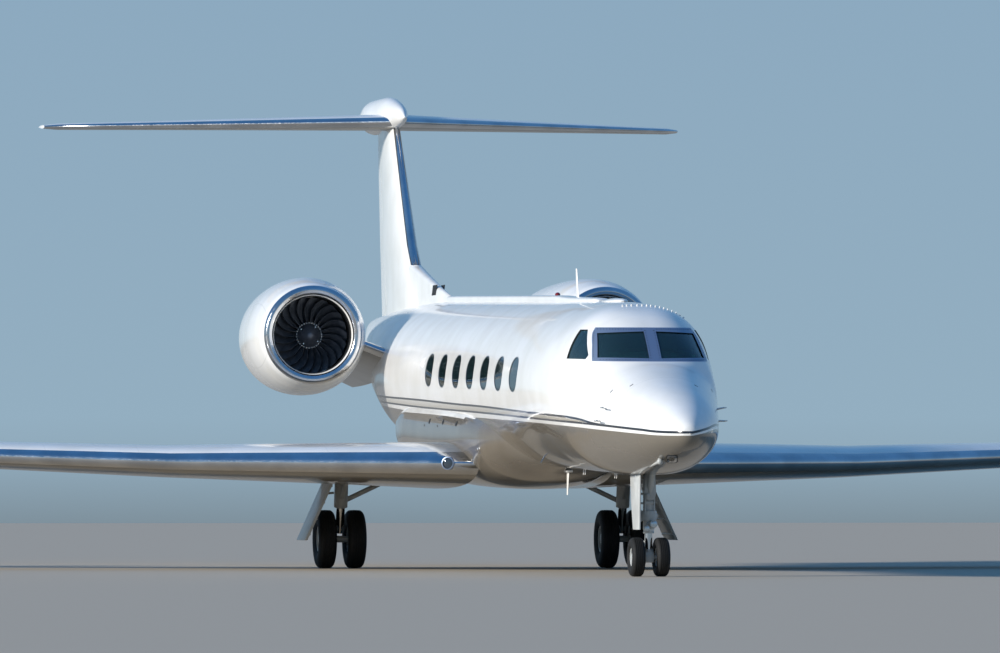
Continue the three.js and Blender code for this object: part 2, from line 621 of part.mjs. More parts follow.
// The round nose of the rudder, or with a gap the hollow that it turns in
function rudderNose(share, gap) {
  const [[s0, z0], [s1, z1]] = RUDDER_HINGE;
  const slope = (s1 - s0) / (z1 - z0);
  const ends = rudderHalf.map(([s, z, half], i) => {
    const over = i === 0 ? -gap : (i === rudderHalf.length - 1 ? gap : 0);
    return [[0, s + slope * over, z + over], half * share + gap];
  });
  let nose = rod(ends[0][0], ends[1][0], ends[0][1], ends[1][1], 14);
  for (let i = 1; i + 1 < ends.length; i += 1) nose = nose.add(rod(ends[i][0], ends[i + 1][0], ends[i][1], ends[i + 1][1], 14));
  return nose;
}
const RUDDER_SPAN = Math.hypot(RUDDER_HINGE[1][0] - RUDDER_HINGE[0][0], RUDDER_HEAD - RUDDER_FOOT);
const rudderAt = (d) => {
  const t = d / RUDDER_SPAN;
  const [[s0, z0], [s1, z1]] = RUDDER_HINGE;
  return [0, s0 + (s1 - s0) * t, z0 + (z1 - z0) * t];
};
const rudder = finWhole.intersect(prism(rudderRegion(0, 0), 'x', -500, 500))
  .add(rudderNose(0.97, 0))
  .add(rod(rudderAt(-13.7), rudderAt(60), 20, 20, 8))
  .add(rod(rudderAt(RUDDER_SPAN - 60), rudderAt(RUDDER_SPAN + 13.7), 20, 20, 8));
const fin = finWhole.subtract(prism(rudderRegion(RUDDER_GAP, -2), 'x', -500, 500))
  .subtract(rudderNose(1, RUDDER_GAP))
  .subtract(rod(rudderAt(-14), rudderAt(60), 20.9, 20.9, 16))
  .subtract(rod(rudderAt(RUDDER_SPAN - 60), rudderAt(RUDDER_SPAN + 14), 20.9, 20.9, 16));

// Tailplane through the bullet, both sides in one, with its two elevators clear of the bullet
const ELEVATOR_ROOT = 245;
const halfTail = loft(TAILPLANE.map((row) => wingRing(row, 0, 8, 0)));
let tailplane = halfTail.add(mirror(halfTail));
const elevatorCut = hinged(tailplane, TAILPLANE, [560, 26480], [5020, 28720], 0, 1600, 10, false);
HINGES.elevator = [elevatorCut.from, elevatorCut.to];
const elevator = elevatorCut.piece.intersect(box(ELEVATOR_ROOT, 6000, 24000, 30000, 6500, 8000));
tailplane = elevatorCut.rest;
const otherCut = hinged(mirror(tailplane), TAILPLANE, [560, 26480], [5020, 28720], 0, 1600, 10, false);
tailplane = mirror(otherCut.rest);
const bullet = bulletWhole.subtract(halfTailGrown).subtract(mirror(halfTailGrown));

// Engine: profiles of [radius, distance aft of the lip] about the engine's axis
const axisPoint = [ENGINE_X, ENGINE_LIP, ENGINE_Z];
const inlet = spin([
  [602, 400], [590, 250], [606, 90], [650, 14], [700, 0], [738, 22], [768, 80], [804, 200], [840, 400],
], axisPoint, 'y', ENGINE_SIDES);
const cowl = spin([
  [602, 400 + GAP], [840, 400 + GAP], [896, 850], [920, 1350], [915, 2100], [878, 3000], [806, 3700],
  [760, 3700], [740, 3000], [700, 1600], [613, 1100], [613, 600],
], axisPoint, 'y', ENGINE_SIDES);
const nozzle = spin([
  [760, 3700 + GAP], [806, 3700 + GAP], [700, 4350], [590, 4900], [572, 4900], [670, 4300],
], axisPoint, 'y', ENGINE_SIDES);
const core = spin([
  [0, 850], [70, 850], [330, 852], [420, 1100], [470, 1800], [430, 3400], [330, 4200], [210, 4420], [0, 4420],
], axisPoint, 'y', 20);
// Two struts carry the core in the duct
const strutBars = [45, 135, 225, 315].map((angle) => {
  const at = (r) => [ENGINE_X + r * Math.cos(rad(angle)), ENGINE_LIP + 2300, ENGINE_Z + r * Math.sin(rad(angle))];
  return rod(at(400), at(800), 45, 45, 8);
});
const cowlGrown = spin([
  [602, 400], [1000, 400], [1000, 3700], [760 - GAP, 3700], [740 - GAP, 3000], [700 - GAP, 1600],
  [613 - GAP, 1100], [613 - GAP, 600],
], axisPoint, 'y', ENGINE_SIDES);
const engineCore = strutBars.reduce((body, bar) => body.add(bar.subtract(cowlGrown)), core)
  .subtract(spin([[0, 600], [bored(60), 600], [bored(60), 1020], [0, 1020]], axisPoint, 'y', 16));

// Fan: spinner, hub and twisted blades, with its shaft in the core
const bladeRings = (angle) => [[150, 40], [FAN_RADIUS, 18]].map(([r, pitch]) => {
  const [c, n] = [Math.cos(rad(angle)), Math.sin(rad(angle))];
  const half = 78;
  const across = [Math.cos(rad(90 - pitch)) * half, Math.sin(rad(90 - pitch)) * half];
  return [[-1, -5], [1, -5], [1, 5], [-1, 5]].map(([k, t]) => {
    const tangent = k * across[1] * 0.72 + (t * across[0]) / half;
    const along = 730 + k * across[0] + (t * across[1]) / half;
    return [
      ENGINE_X + r * c - tangent * n,
      ENGINE_LIP + along,
      ENGINE_Z + r * n + tangent * c,
    ];
  });
});
let fan = spin([
  [0, 480], [60, 505], [140, 585], [190, 660], [205, 810], [60, 812], [60, 1000], [0, 1000],
], axisPoint, 'y', 20);
for (let k = 0; k < FAN_BLADES; k += 1) fan = fan.add(loft(bladeRings((360 * k) / FAN_BLADES)));

// Pylon from the body's side up to the cowl, a thin lifting section: x, leading edge station,
// leading edge z, chord, thickness ratio, incidence
const PYLON = [[900, 19150, 3270, 4700, 0.075, 5.0], [1650, 19300, 3560, 4100, 0.075, 5.4]];
const pylonWhole = loft(PYLON.map((row) => wingRing(row, 0, 7, 0)));
const cowlOuter = spin([
  [0, 0], [770, 0], [840 + GAP, 400], [896 + GAP, 850], [920 + GAP, 1350], [915 + GAP, 2100],
  [878 + GAP, 3000], [806 + GAP, 3700], [700 + GAP, 4350], [590, 4900], [0, 4900],
], axisPoint, 'y', ENGINE_SIDES);
// The engine's axis points a little outwards ahead, about the middle of the lip
const TOE = 2.6;
const toed = (body) => body.translate([-ENGINE_X, -ENGINE_LIP, 0]).rotate([0, 0, TOE])
  .translate([ENGINE_X, ENGINE_LIP, 0]);
const pylonFrom = (whole, outer) => whole.subtract(bodyGrown).subtract(outer);

// Tyre and hub profiles about the axle
function tyre(size, x, s) {
  const { radius, bore, width, sides } = size;
  const w = width / 2;
  const turn = -Math.PI / 2;
  return spin([
    [bore, -w * 0.72], [radius * 0.74, -w], [radius * 0.93, -w * 0.85], [radius, -w * 0.4],
    [radius, w * 0.4], [radius * 0.93, w * 0.85], [radius * 0.74, w], [bore, w * 0.72],
  ], [x, s, radius], 'x', sides, turn);
}
function hubs(size, x, s, axle) {
  const { radius, bore, width, spacing, sides } = size;
  const w = width / 2;
  const c = spacing / 2;
  const r = bore * Math.cos(Math.PI / sides) - GAP;
  return spin([
    [0, -c - w * 0.5], [r * 0.55, -c - w * 0.45], [r * 0.86, -c - w * 0.2], [r, -c - w * 0.7],
    [r, -c + w * 0.7], [r * 0.82, -c + w * 0.1], [axle, -c + w * 0.1],
    [axle, c - w * 0.1], [r * 0.82, c - w * 0.1], [r, c - w * 0.7],
    [r, c + w * 0.7], [r * 0.86, c + w * 0.2], [r * 0.55, c + w * 0.45], [0, c + w * 0.5],
  ], [x, s, radius], 'x', 16);
}

// Nose leg: fixed strut and drag brace, then the steered piston with its axle block
const NOSE_AXLE = 34;
const noseZ = NOSE_TYRE.radius;
const noseLeg = rod([0, NOSE_GEAR, NOSE_PISTON_TOP + GAP], [0, NOSE_GEAR, 1640], 78, 78, 16)
  .add(rod([0, NOSE_GEAR, 1450], [0, NOSE_GEAR, 1700], 110, 110, 12))
  .add(box(GAP - NOSE_BAY, NOSE_BAY - GAP, NOSE_GEAR - 45, NOSE_GEAR + 45, 1560, 1650))
  .add(rod([0, NOSE_GEAR, 1020], [0, NOSE_GEAR - 400, 1600], 32, 32, 8))
  .add(rod([0, NOSE_GEAR, 760], [0, NOSE_GEAR, 900], 108, 108, 14));
const nosePiston = rod([0, NOSE_GEAR, noseZ], [0, NOSE_GEAR, NOSE_PISTON_TOP], 50, 50, 16)
  .add(box(-66, 66, NOSE_GEAR - 70, NOSE_GEAR + 70, noseZ - 75, noseZ + 75))
  .add(prism([[NOSE_GEAR + 30, 330], [NOSE_GEAR + 170, 470], [NOSE_GEAR + 40, 610]], 'x', -30, 30))
  .subtract(spin([[0, -200], [bored(NOSE_AXLE), -200], [bored(NOSE_AXLE), 200], [0, 200]],
    [0, NOSE_GEAR, noseZ], 'x', 20));

// Nose leg door: an upright panel on the leg's starboard side, held off it by two links
const noseLegDoor = loft([[1470, -200], [640, -208]].map(([z, x]) => [
  [x, 2600, z], [x + 22, 2600, z], [x + 22, z < 1000 ? 3070 : 3330, z], [x, z < 1000 ? 3070 : 3330, z],
])).add(rod([-190, NOSE_GEAR, 1330], [-76.9, NOSE_GEAR, 1330], 14, 14, 8))
  .add(rod([-190, NOSE_GEAR, 1000], [-76.9, NOSE_GEAR, 1000], 14, 14, 8));

// Main leg: strut raked forward at its top, two side braces and a drag brace
const MAIN_AXLE = 52;
const mainZ = MAIN_TYRE.radius;
const rakedAt = (z) => MAIN_GEAR - ((z - mainZ) * 200) / 900;
const mainLegWhole = rod([MAIN_X, MAIN_GEAR, mainZ - 20], [MAIN_X, rakedAt(960), 960], 72, 72, 16)
  .add(rod([MAIN_X, rakedAt(930), 930], [MAIN_X, rakedAt(1440), 1440], MAIN_LEG_RADIUS, MAIN_LEG_RADIUS, 16))
  .add(box(MAIN_X - 78, MAIN_X + 78, MAIN_GEAR - 95, MAIN_GEAR + 95, mainZ - 95, mainZ + 95))
  .add(rod([MAIN_X, rakedAt(1000) - 60, 1000], [1420, rakedAt(960) - 260, 1400], 38, 38, 8))
  .add(rod([MAIN_X, rakedAt(1000) + 60, 1000], [1420, rakedAt(960) + 60, 1360], 38, 38, 8))
  .add(rod([MAIN_X, rakedAt(1000), 1000], [2150, rakedAt(1000) - 620, 1480], 36, 36, 8))
  .subtract(spin([[0, -300], [bored(MAIN_AXLE), -300], [bored(MAIN_AXLE), 300], [0, 300]],
    [MAIN_X, MAIN_GEAR, mainZ], 'x', 20));
const fairingGrown = lean(loft(FAIRING.map(([s, w, top, low, mid, p]) => (
  ovalRing([s, w + GAP, top + GAP, low - GAP, mid, p], 28)
))));
const mainLeg = mainLegWhole.subtract(wingGrown).subtract(fairingGrown);

// Outer gear door: a slab leaning out beside the wheels, tied to the leg by a rod
const mainDoor = loft([[1420, 2375], [430, 2830]].map(([z, x]) => [
  [x, 15700, z], [x + 45, 15700, z], [x + 45, z < 900 ? 16560 : 16640, z], [x, z < 900 ? 16560 : 16640, z],
])).add(rod([MAIN_X + 118, rakedAt(1150), 1150], [2620, 16480, 1130], 18, 18, 8))
  .subtract(wingGrown);

const object = new THREE.Group();
object.name = 'business_jet';

function place(name, body, slot) {
  const raw = body.getMesh();
  const positions = [];
  for (let i = 0; i < raw.vertProperties.length; i += raw.numProp) {
    positions.push(raw.vertProperties[i], raw.vertProperties[i + 1] - HALF_LENGTH, raw.vertProperties[i + 2]);
  }
  const geometry = new THREE.BufferGeometry();
  geometry.setAttribute('position', new THREE.Float32BufferAttribute(positions, 3));
  geometry.setIndex(Array.from(raw.triVerts));
  geometry.computeVertexNormals();
  const [color, roughness, metalness] = MATERIALS[slot];
  const mesh = new THREE.Mesh(geometry, new THREE.MeshStandardMaterial({ color, roughness, metalness }));
  mesh.name = name;
  object.add(mesh);
}

function pair(name, body, slot) {
  place(`${name}_port`, body, slot);
  place(`${name}_starboard`, mirror(body), slot);
}

place('radome', lean(radome), 'white_paint');
place('cockpit_section', lean(cockpit), 'white_paint');
place('windscreen_frame', lean(windscreenFrame), 'frame_metal');
place('windscreen_glass', lean(windscreenGlass), 'glass');
place('glareshield', lean(glareshield), 'interior');
place('cabin_section', lean(cabin), 'white_paint');
place('entry_door', lean(door), 'white_paint');
pair('cabin_glass', lean(glassStrip()), 'glass');
place('tail_cone', lean(tailCone), 'white_paint');
place('spine_fairing', spine, 'white_paint');
place('belly_fairing', fairing, 'belly_paint');
pair('wing', wing, 'white_paint');
pair('winglet', winglet, 'white_paint');
pair('flap_inner', flapInner, 'white_paint');
pair('flap_outer', flapOuter, 'white_paint');
pair('aileron', aileron, 'white_paint');
pair('spoiler', spoiler, 'white_paint');
place('fin', fin, 'white_paint');
place('rudder', rudder, 'white_paint');
place('tail_bullet', bullet, 'white_paint');
place('tailplane', tailplane, 'white_paint');
pair('elevator', elevator, 'white_paint');
place('pylon_port', pylonFrom(pylonWhole, toed(cowlOuter)), 'white_paint');
place('pylon_starboard', pylonFrom(mirror(pylonWhole), mirror(toed(cowlOuter))), 'white_paint');
pair('inlet_lip', toed(inlet), 'bare_metal');
pair('cowl', toed(cowl), 'white_paint');
pair('nozzle', toed(nozzle), 'bare_metal');
pair('engine_core', toed(engineCore), 'dark_metal');
pair('fan', toed(fan), 'dark_metal');
place('nose_leg', noseLeg, 'gear_paint');
place('nose_piston', nosePiston, 'bare_metal');
place('nose_hubs', hubs(NOSE_TYRE, 0, NOSE_GEAR, NOSE_AXLE), 'gear_paint');
pair('nose_tyre', tyre(NOSE_TYRE, NOSE_TYRE.spacing / 2, NOSE_GEAR), 'tyre');
place('nose_leg_door', noseLegDoor, 'belly_paint');
pair('main_leg', mainLeg, 'gear_paint');
pair('main_hubs', hubs(MAIN_TYRE, MAIN_X, MAIN_GEAR, MAIN_AXLE), 'gear_paint');
pair('main_tyre_inner', tyre(MAIN_TYRE, MAIN_X - MAIN_TYRE.spacing / 2, MAIN_GEAR), 'tyre');
pair('main_tyre_outer', tyre(MAIN_TYRE, MAIN_X + MAIN_TYRE.spacing / 2, MAIN_GEAR), 'tyre');
pair('main_door', mainDoor, 'belly_paint');

export default object;
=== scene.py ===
import math

import bpy
from mathutils import Matrix, Vector


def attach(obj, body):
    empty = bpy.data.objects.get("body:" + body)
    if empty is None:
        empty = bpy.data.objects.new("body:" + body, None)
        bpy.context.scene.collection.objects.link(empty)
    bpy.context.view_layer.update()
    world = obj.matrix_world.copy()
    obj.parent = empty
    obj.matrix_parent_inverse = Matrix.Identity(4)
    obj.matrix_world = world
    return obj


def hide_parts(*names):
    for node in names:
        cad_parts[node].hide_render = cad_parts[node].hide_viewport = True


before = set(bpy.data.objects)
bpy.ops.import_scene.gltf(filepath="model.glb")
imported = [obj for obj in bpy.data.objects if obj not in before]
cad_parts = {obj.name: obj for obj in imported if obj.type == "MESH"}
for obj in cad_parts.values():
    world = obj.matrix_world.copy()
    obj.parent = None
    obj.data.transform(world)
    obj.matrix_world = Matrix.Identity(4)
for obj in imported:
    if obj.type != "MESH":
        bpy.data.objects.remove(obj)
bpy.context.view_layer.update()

# Sizes in millimetres. Stations count aft from the nose tip; the body leans nose down about a station.
HALF_LENGTH = 14695.0
LEAN, LEAN_PIVOT = 0.0235, 3630.0
WALL, FLOOR_Z = 100.0, 1805.0
ROUND = 96
SIDES = ((1, "port"), (-1, "starboard"))

# Bodies: station, half width, top, low, height of the widest place, power of the curve above and below
BODY = [
    (0, 8, 2023, 2007, 2015, 2.0, 2.0), (40, 105, 2115, 1912, 2012, 2.0, 2.0),
    (150, 205, 2200, 1832, 2010, 2.0, 2.0), (400, 350, 2330, 1745, 2020, 2.05, 2.05),
    (950, 552, 2548, 1600, 2060, 2.1, 2.1), (1600, 700, 2720, 1490, 2110, 2.15, 2.15),
    (2250, 822, 2898, 1430, 2180, 2.25, 2.25), (2440, 855, 2960, 1419, 2204, 2.35, 2.31),
    (2700, 900, 3185, 1408, 2240, 2.6, 2.4), (2960, 934, 3386, 1400, 2280, 2.5, 2.46),
    (3340, 986, 3588, 1391, 2338, 2.5, 2.48), (3700, 1030, 3680, 1385, 2391, 2.6, 2.42),
    (4150, 1090, 3742, 1381, 2462, 2.35, 2.24), (4900, 1155, 3766, 1380, 2545, 2.08, 2.08),
    (5600, 1186, 3770, 1380, 2570, 2.0, 2.0), (6300, 1195, 3770, 1380, 2575, 2.0, 2.0),
    (18000, 1195, 3770, 1380, 2575, 2.0, 2.0), (19500, 1160, 3762, 1450, 2595, 2.0, 2.0),
    (21000, 1040, 3735, 1690, 2690, 2.0, 2.0), (23000, 800, 3665, 2150, 2880, 2.0, 2.0),
    (25000, 510, 3575, 2690, 3120, 2.0, 2.0), (26400, 270, 3500, 3060, 3280, 2.0, 2.0),
    (26900, 175, 3460, 3150, 3305, 2.0, 2.0),
]
FAIRING = [
    (8600, 300, 1900, 1440, 1650, 2.0, 2.0), (9500, 900, 2200, 1290, 1780, 2.1, 2.1),
    (10400, 1150, 2300, 1120, 1800, 2.3, 2.3), (11800, 1225, 2340, 1010, 1820, 2.6, 2.6),
    (14000, 1240, 2360, 990, 1820, 2.8, 2.8), (16500, 1240, 2360, 1020, 1820, 2.8, 2.8),
    (18000, 1120, 2300, 1180, 1820, 2.4, 2.4), (19000, 800, 2150, 1380, 1820, 2.1, 2.1),
    (19700, 300, 2100, 1560, 1850, 2.0, 2.0),
]
BULLET = [
    (24080, 10, 7245, 7225, 7235, 2, 2), (24400, 95, 7400, 7150, 7270, 2, 2),
    (25000, 175, 7540, 7090, 7310, 2, 2), (25700, 215, 7635, 7070, 7340, 2, 2),
    (27200, 215, 7650, 7080, 7370, 2, 2), (28200, 110, 7560, 7230, 7400, 2, 2),
    (28780, 30, 7490, 7400, 7445, 2, 2),
]
# Wing and tailplane: x, leading edge station, leading edge z, chord, thickness ratio, incidence
WING = [
    (1000, 10956, 1575, 6600, 0.100, 2.8), (5200, 13379, 1608, 3960, 0.120, 1.8),
    (9000, 15572, 1745, 2960, 0.125, 1.1), (13000, 17880, 1890, 1870, 0.110, 0.4),
    (13800, 18342, 1920, 1650, 0.100, 0.0),
]
WINGLET = [
    (13800.3, 18342, 1920, 1650, 0.100, 0), (13960, 18460, 1955, 1540, 0.098, 35),
    (14060, 18610, 2070, 1400, 0.090, 68), (14100, 18760, 2260, 1250, 0.085, 80),
    (14224, 19560, 3330, 620, 0.080, 83),
]
TAILPLANE = [
    (0, 24720, 7190, 2760, 0.10, -2.0), (260, 24900, 7190, 2640, 0.10, -2.0),
    (5150, 28180, 7230, 1200, 0.09, -2.0), (5360, 28530, 7240, 860.5, 0.07, -2.0),
]
PYLON = [(900, 19150, 3270, 4700, 0.075, 5.0), (1650, 19300, 3560, 4100, 0.075, 5.4)]
# Fin: z, leading edge station, chord, thickness ratio
FIN = [(3990, 21900, 4530, 0.075), (4700, 22700, 3850, 0.085), (5150, 23270, 3370, 0.095),
       (7150, 24940, 1990, 0.1)]

# Openings: (station, unleaned height), the front pane (half width, unleaned height)
WINDOW_STATIONS = [7010, 8240, 9470, 10700, 11930, 13170, 14400]
WINDOW_Z, WINDOW_HALF_LENGTH, WINDOW_HALF_HEIGHT = 2735.0, 330.0, 250.0
DOOR_FRONT, DOOR_REAR, DOOR_FOOT, DOOR_HEAD = 4620.0, 5540.0, 1826.0, 3390.0
BAND = [(2350, 2953), (2921, 2953), (3154, 3175), (3371, 3339), (3425, 3412), (2350, 3418)]
FRONT_PANE = [(84, 2994), (740, 3008), (669, 3350), (84, 3369)]
SIDE_PANE = [(3120, 2978), (3809, 2980), (3786, 3381), (3548, 3382), (3087, 3032)]
ENGINE_X, ENGINE_Z, ENGINE_LIP = 2310.0, 3600.0, 18600.0
# Gear: stations of the axles, half track, wheel radii
NOSE_GEAR, MAIN_GEAR, MAIN_X, NOSE_WHEEL, MAIN_WHEEL = 3000, 16720, 2185, 266.7, 444.5


# Places and sections
def at(x, station, z):
    """Row frame point, in metres, of a point given by its station."""
    return Vector((x / 1000, (station - HALF_LENGTH) / 1000, z / 1000))


def leaned(station, z):
    return z + LEAN * (station - LEAN_PIVOT)


def between(table, s):
    """Smooth row between the rows of a table, with no overshoot."""
    k = 0
    while k + 2 < len(table) and s > table[k + 1][0]:
        k += 1
    a, b = table[k], table[k + 1]
    before, after = table[max(0, k - 1)], table[min(len(table) - 1, k + 2)]
    step = b[0] - a[0]
    t = (s - a[0]) / step
    t2, t3 = t * t, t * t * t
    row = []
    for c, value in enumerate(a):
        slope = (b[c] - value) / step
        back = slope if a is before else (value - before[c]) / (a[0] - before[0])
        ahead = slope if b is after else (after[c] - b[c]) / (after[0] - b[0])
        m0 = 2 * back * slope / (back + slope) * step if back * slope > 0 else 0
        m1 = 2 * slope * ahead / (slope + ahead) * step if slope * ahead > 0 else 0
        row.append((2 * t3 - 3 * t2 + 1) * value + (t3 - 2 * t2 + t) * m0 + (3 * t2 - 2 * t3) * b[c]
                   + (t3 - t2) * m1)
    return row


def straight(table, x):
    """Row on the straight line between the rows of a table."""
    k = 0
    while k + 2 < len(table) and x > table[k + 1][0]:
        k += 1
    t = (x - table[k][0]) / (table[k + 1][0] - table[k][0])
    return [a + t * (b - a) for a, b in zip(table[k], table[k + 1])]


def section(table, s, inset=0.0, sides=ROUND, lean=True):
    """Ring of points round a body at one station."""
    _, half_width, top, low, middle, above, below = between(table, s)
    ring = []
    for i in range(sides):
        t = 2 * math.pi * (i + 0.5) / sides
        up = math.cos(t) > 0
        power = 2 / (above if up else below)
        x = math.copysign(abs(math.sin(t)) ** power, math.sin(t)) * (half_width - inset)
        half = (top - middle if up else middle - low) - inset
        z = middle + math.copysign(abs(math.cos(t)) ** power, math.cos(t)) * half
        ring.append(at(x, s, leaned(s, z) if lean else z))
    return ring


def depth_in(table, p):
    """Below zero inside the body, above it outside, for a point in the row frame."""
    s = p.y * 1000 + HALF_LENGTH
    _, half_width, top, low, middle, above, below = between(table, min(max(s, table[0][0]), table[-1][0]))
    z = p.z * 1000 - LEAN * (s - LEAN_PIVOT)
    up = z > middle
    power = above if up else below
    return (abs(p.x * 1000 / half_width) ** power
            + abs((z - middle) / ((top - middle) if up else (middle - low))) ** power) - 1


def outward(table, p):
    """Direction square to the body's skin at a point on it."""
    e = 0.004
    n = Vector([depth_in(table, p + Vector(d)) - depth_in(table, p - Vector(d))
                for d in ((e, 0, 0), (0, e, 0), (0, 0, e))])
    return n.normalized() if n.length > 1e-9 else Vector((0, -1, 0))


def side_x(s, z, table=BODY):
    """Half width of the skin at a station and an unleaned height."""
    _, half_width, top, low, middle, above, below = between(table, s)
    up = z > middle
    share = abs((z - middle) / ((top - middle) if up else (middle - low)))
    power = above if up else below
    return half_width * max(0.0, 1 - share ** power) ** (1 / power)


def stations(start, end, step, table=BODY):
    """Stations from start to end, no further apart than the step where the section changes."""
    marks = sorted({start, end, *[row[0] for row in table if start < row[0] < end]})
    out = []
    for a, b in zip(marks, marks[1:]):
        same = between(table, a)[1:] == between(table, b)[1:]
        count = 1 if same else max(1, math.ceil((b - a) / step))
        out += [a + (b - a) * k / count for k in range(count)]
    return out + [end]


FOIL_MARKS = (0, 0.0015, 0.005, 0.012, 0.022, 0.035, 0.055, 0.085, 0.125, 0.18, 0.25, 0.33, 0.42, 0.51, 0.6,
              0.68,
              0.75, 0.82, 0.88, 0.93, 0.97, 1.0)


def foil(chord, ratio, camber, marks=FOIL_MARKS):
    """Aerofoil outline: upper side from the trailing edge forward, then the lower side back."""
    def half(x):
        return 5 * ratio * chord * (0.2969 * math.sqrt(x) - 0.126 * x - 0.3516 * x * x + 0.2843 * x ** 3
                                    - 0.1015 * x ** 4)

    def bow(x):
        return chord * (camber * (0.8 * x - x * x) / 0.16
                        if x < 0.4 else camber * (0.2 + 0.8 * x - x * x) / 0.36)

    upper = [(x * chord, bow(x) + half(x)) for x in reversed(marks)]
    lower = [(x * chord, bow(x) - half(x)) for x in marks[1:]]
    return upper + lower


def wing_ring(row, camber=0.0):
    x, s, z, chord, ratio, incidence = row
    c, n = math.cos(math.radians(incidence)), math.sin(math.radians(incidence))
    return [at(x, s + u * c + v * n, z - u * n + v * c) for u, v in foil(chord, ratio, camber)]


def inside(table, x, s, camber):
    """Middle height and half thickness of a wing at a place in plan."""
    row = straight(table, x)
    share = min(max((s - row[1]) / row[3], 0.0001), 0.9999)
    upper, lower = foil(row[3], row[4], camber, (share, 1.0))[1], foil(row[3], row[4], camber,
            (0.0, share))[-1]
    drop = (s - row[1]) * math.tan(math.radians(row[5]))
    return row[2] - drop + (upper[1] + lower[1]) / 2, (upper[1] - lower[1]) / 2


# Modelling
def deselect():
    for obj in list(bpy.context.selected_objects):
        obj.select_set(False)


def pick(obj):
    deselect()
    obj.select_set(True)
    bpy.context.view_layer.objects.active = obj
    return obj


def new_name(obj, name):
    obj.name = name
    obj.data.name = name
    return obj


def new(name):
    """The primitive just added, under its own name."""
    return new_name(bpy.context.view_layer.objects.active, name)


def settled(name):
    """The primitive just added, its place moved into its mesh."""
    obj = new(name)
    bpy.ops.object.transform_apply(location=True, rotation=True, scale=True)
    return obj


def in_edit(obj, *steps):
    """Runs steps in edit mode, each on the whole of a piece."""
    pick(obj)
    bpy.ops.object.mode_set(mode="EDIT")
    bpy.ops.mesh.select_mode(type="VERT")
    for step in steps:
        bpy.ops.mesh.select_all(action="SELECT")
        step()
    bpy.ops.object.mode_set(mode="OBJECT")
    return obj


def face_outwards():
    bpy.ops.mesh.normals_make_consistent(inside=False)


def tidy(obj, fill=False):
    """Merges doubles, closes open ends where asked and turns the faces outwards."""
    steps = [lambda: bpy.ops.mesh.remove_doubles(threshold=0.000004)]
    if fill:
        steps.append(lambda: bpy.ops.mesh.fill_holes(sides=0))
    steps.append(lambda: bpy.ops.mesh.delete_loose(use_verts=True, use_edges=True, use_faces=False))
    return in_edit(obj, *steps, face_outwards)


def skin(name, rings):
    """A grid laid over rings of points, its seam merged and its two ends closed."""
    deselect()
    bpy.ops.mesh.primitive_grid_add(x_subdivisions=len(rings[0]), y_subdivisions=len(rings) - 1, size=1)
    obj = new(name)
    obj.data.vertices.foreach_set("co", [c for ring in rings for p in (*ring, ring[0]) for c in p])
    return tidy(obj, fill=True)


def turned(name, profile, centre, axis, steps):
    """A closed profile of (radius, distance along the axis), spun about an axis through a point."""
    deselect()
    bpy.ops.mesh.primitive_circle_add(vertices=len(profile), radius=1)
    obj = new(name)
    along, out = Vector((axis == "X", axis == "Y", 0)), Vector((0, 0, 1))
    for v, (r, d) in zip(obj.data.vertices, profile):
        v.co = centre + out * (r / 1000) + along * (d / 1000)
    in_edit(obj, lambda: bpy.ops.mesh.spin(
        steps=steps, angle=2 * math.pi, center=centre, axis=along, use_auto_merge=True))
    return tidy(obj)


def bevel(obj, width, segments=2, angle=30):
    """Bevels the edges sharper than an angle, in metres."""
    pick(obj)
    bpy.ops.object.mode_set(mode="EDIT")
    bpy.ops.mesh.select_mode(type="EDGE")
    bpy.ops.mesh.select_all(action="DESELECT")
    bpy.ops.mesh.edges_select_sharp(sharpness=math.radians(angle))
    bpy.ops.mesh.bevel(offset=width, segments=segments, affect="EDGES")
    bpy.ops.object.mode_set(mode="OBJECT")
    return obj


def bar(a, b, radius, far=None, sides=24, chamfer=0.0):
    """A round bar from a to b in metres, its radii in metres, with chamfered ends."""
    a, b = Vector(a), Vector(b)
    deselect()
    bpy.ops.mesh.primitive_cone_add(
        vertices=sides, radius1=radius, radius2=radius if far is None else far, depth=(b - a).length,
        location=(a + b) / 2, rotation=(b - a).to_track_quat("Z", "Y").to_euler())
    obj = settled("bar")
    return bevel(obj, chamfer, 2, angle=50) if chamfer else obj


def block(low, high, chamfer=0.0):
    """A square block between two corners, in metres, with its edges rounded."""
    low, high = Vector(low), Vector(high)
    deselect()
    bpy.ops.mesh.primitive_cube_add(size=1, location=(low + high) / 2, scale=high - low)
    obj = settled("block")
    return bevel(obj, chamfer) if chamfer else obj


def plate(outline, push, name, chamfer=0.0):
    """A flat outline of points, extruded along a vector."""
    deselect()
    bpy.ops.mesh.primitive_circle_add(vertices=len(outline), radius=1, fill_type="NGON")
    obj = new(name)
    for v, p in zip(obj.data.vertices, outline):
        v.co = p
    in_edit(obj, lambda: bpy.ops.mesh.extrude_region_move(TRANSFORM_OT_translate={"value": Vector(push)}),
            face_outwards)
    return bevel(obj, chamfer) if chamfer else obj


def side_prism(shape, x0, x1):
    """A side view outline of (station, unleaned z), pushed along x."""
    return plate([at(x0, s, leaned(s, z)) for s, z in shape], ((x1 - x0) / 1000, 0, 0), "cutter")


def join(name, *parts):
    deselect()
    for obj in parts:
        obj.select_set(True)
    bpy.context.view_layer.objects.active = parts[0]
    if len(parts) > 1:
        bpy.ops.object.join()
    return new(name)


def copy_of(obj, name):
    twin = obj.copy()
    twin.data = obj.data.copy()
    bpy.context.scene.collection.objects.link(twin)
    return new_name(twin, name)


def mirrored(obj, name):
    """The other side's twin, with its own mesh and its faces turned back outwards."""
    twin = copy_of(obj, name)
    pick(twin)
    twin.scale = (-1, 1, 1)
    bpy.ops.object.transform_apply(location=False, rotation=False, scale=True)
    return in_edit(twin, face_outwards)


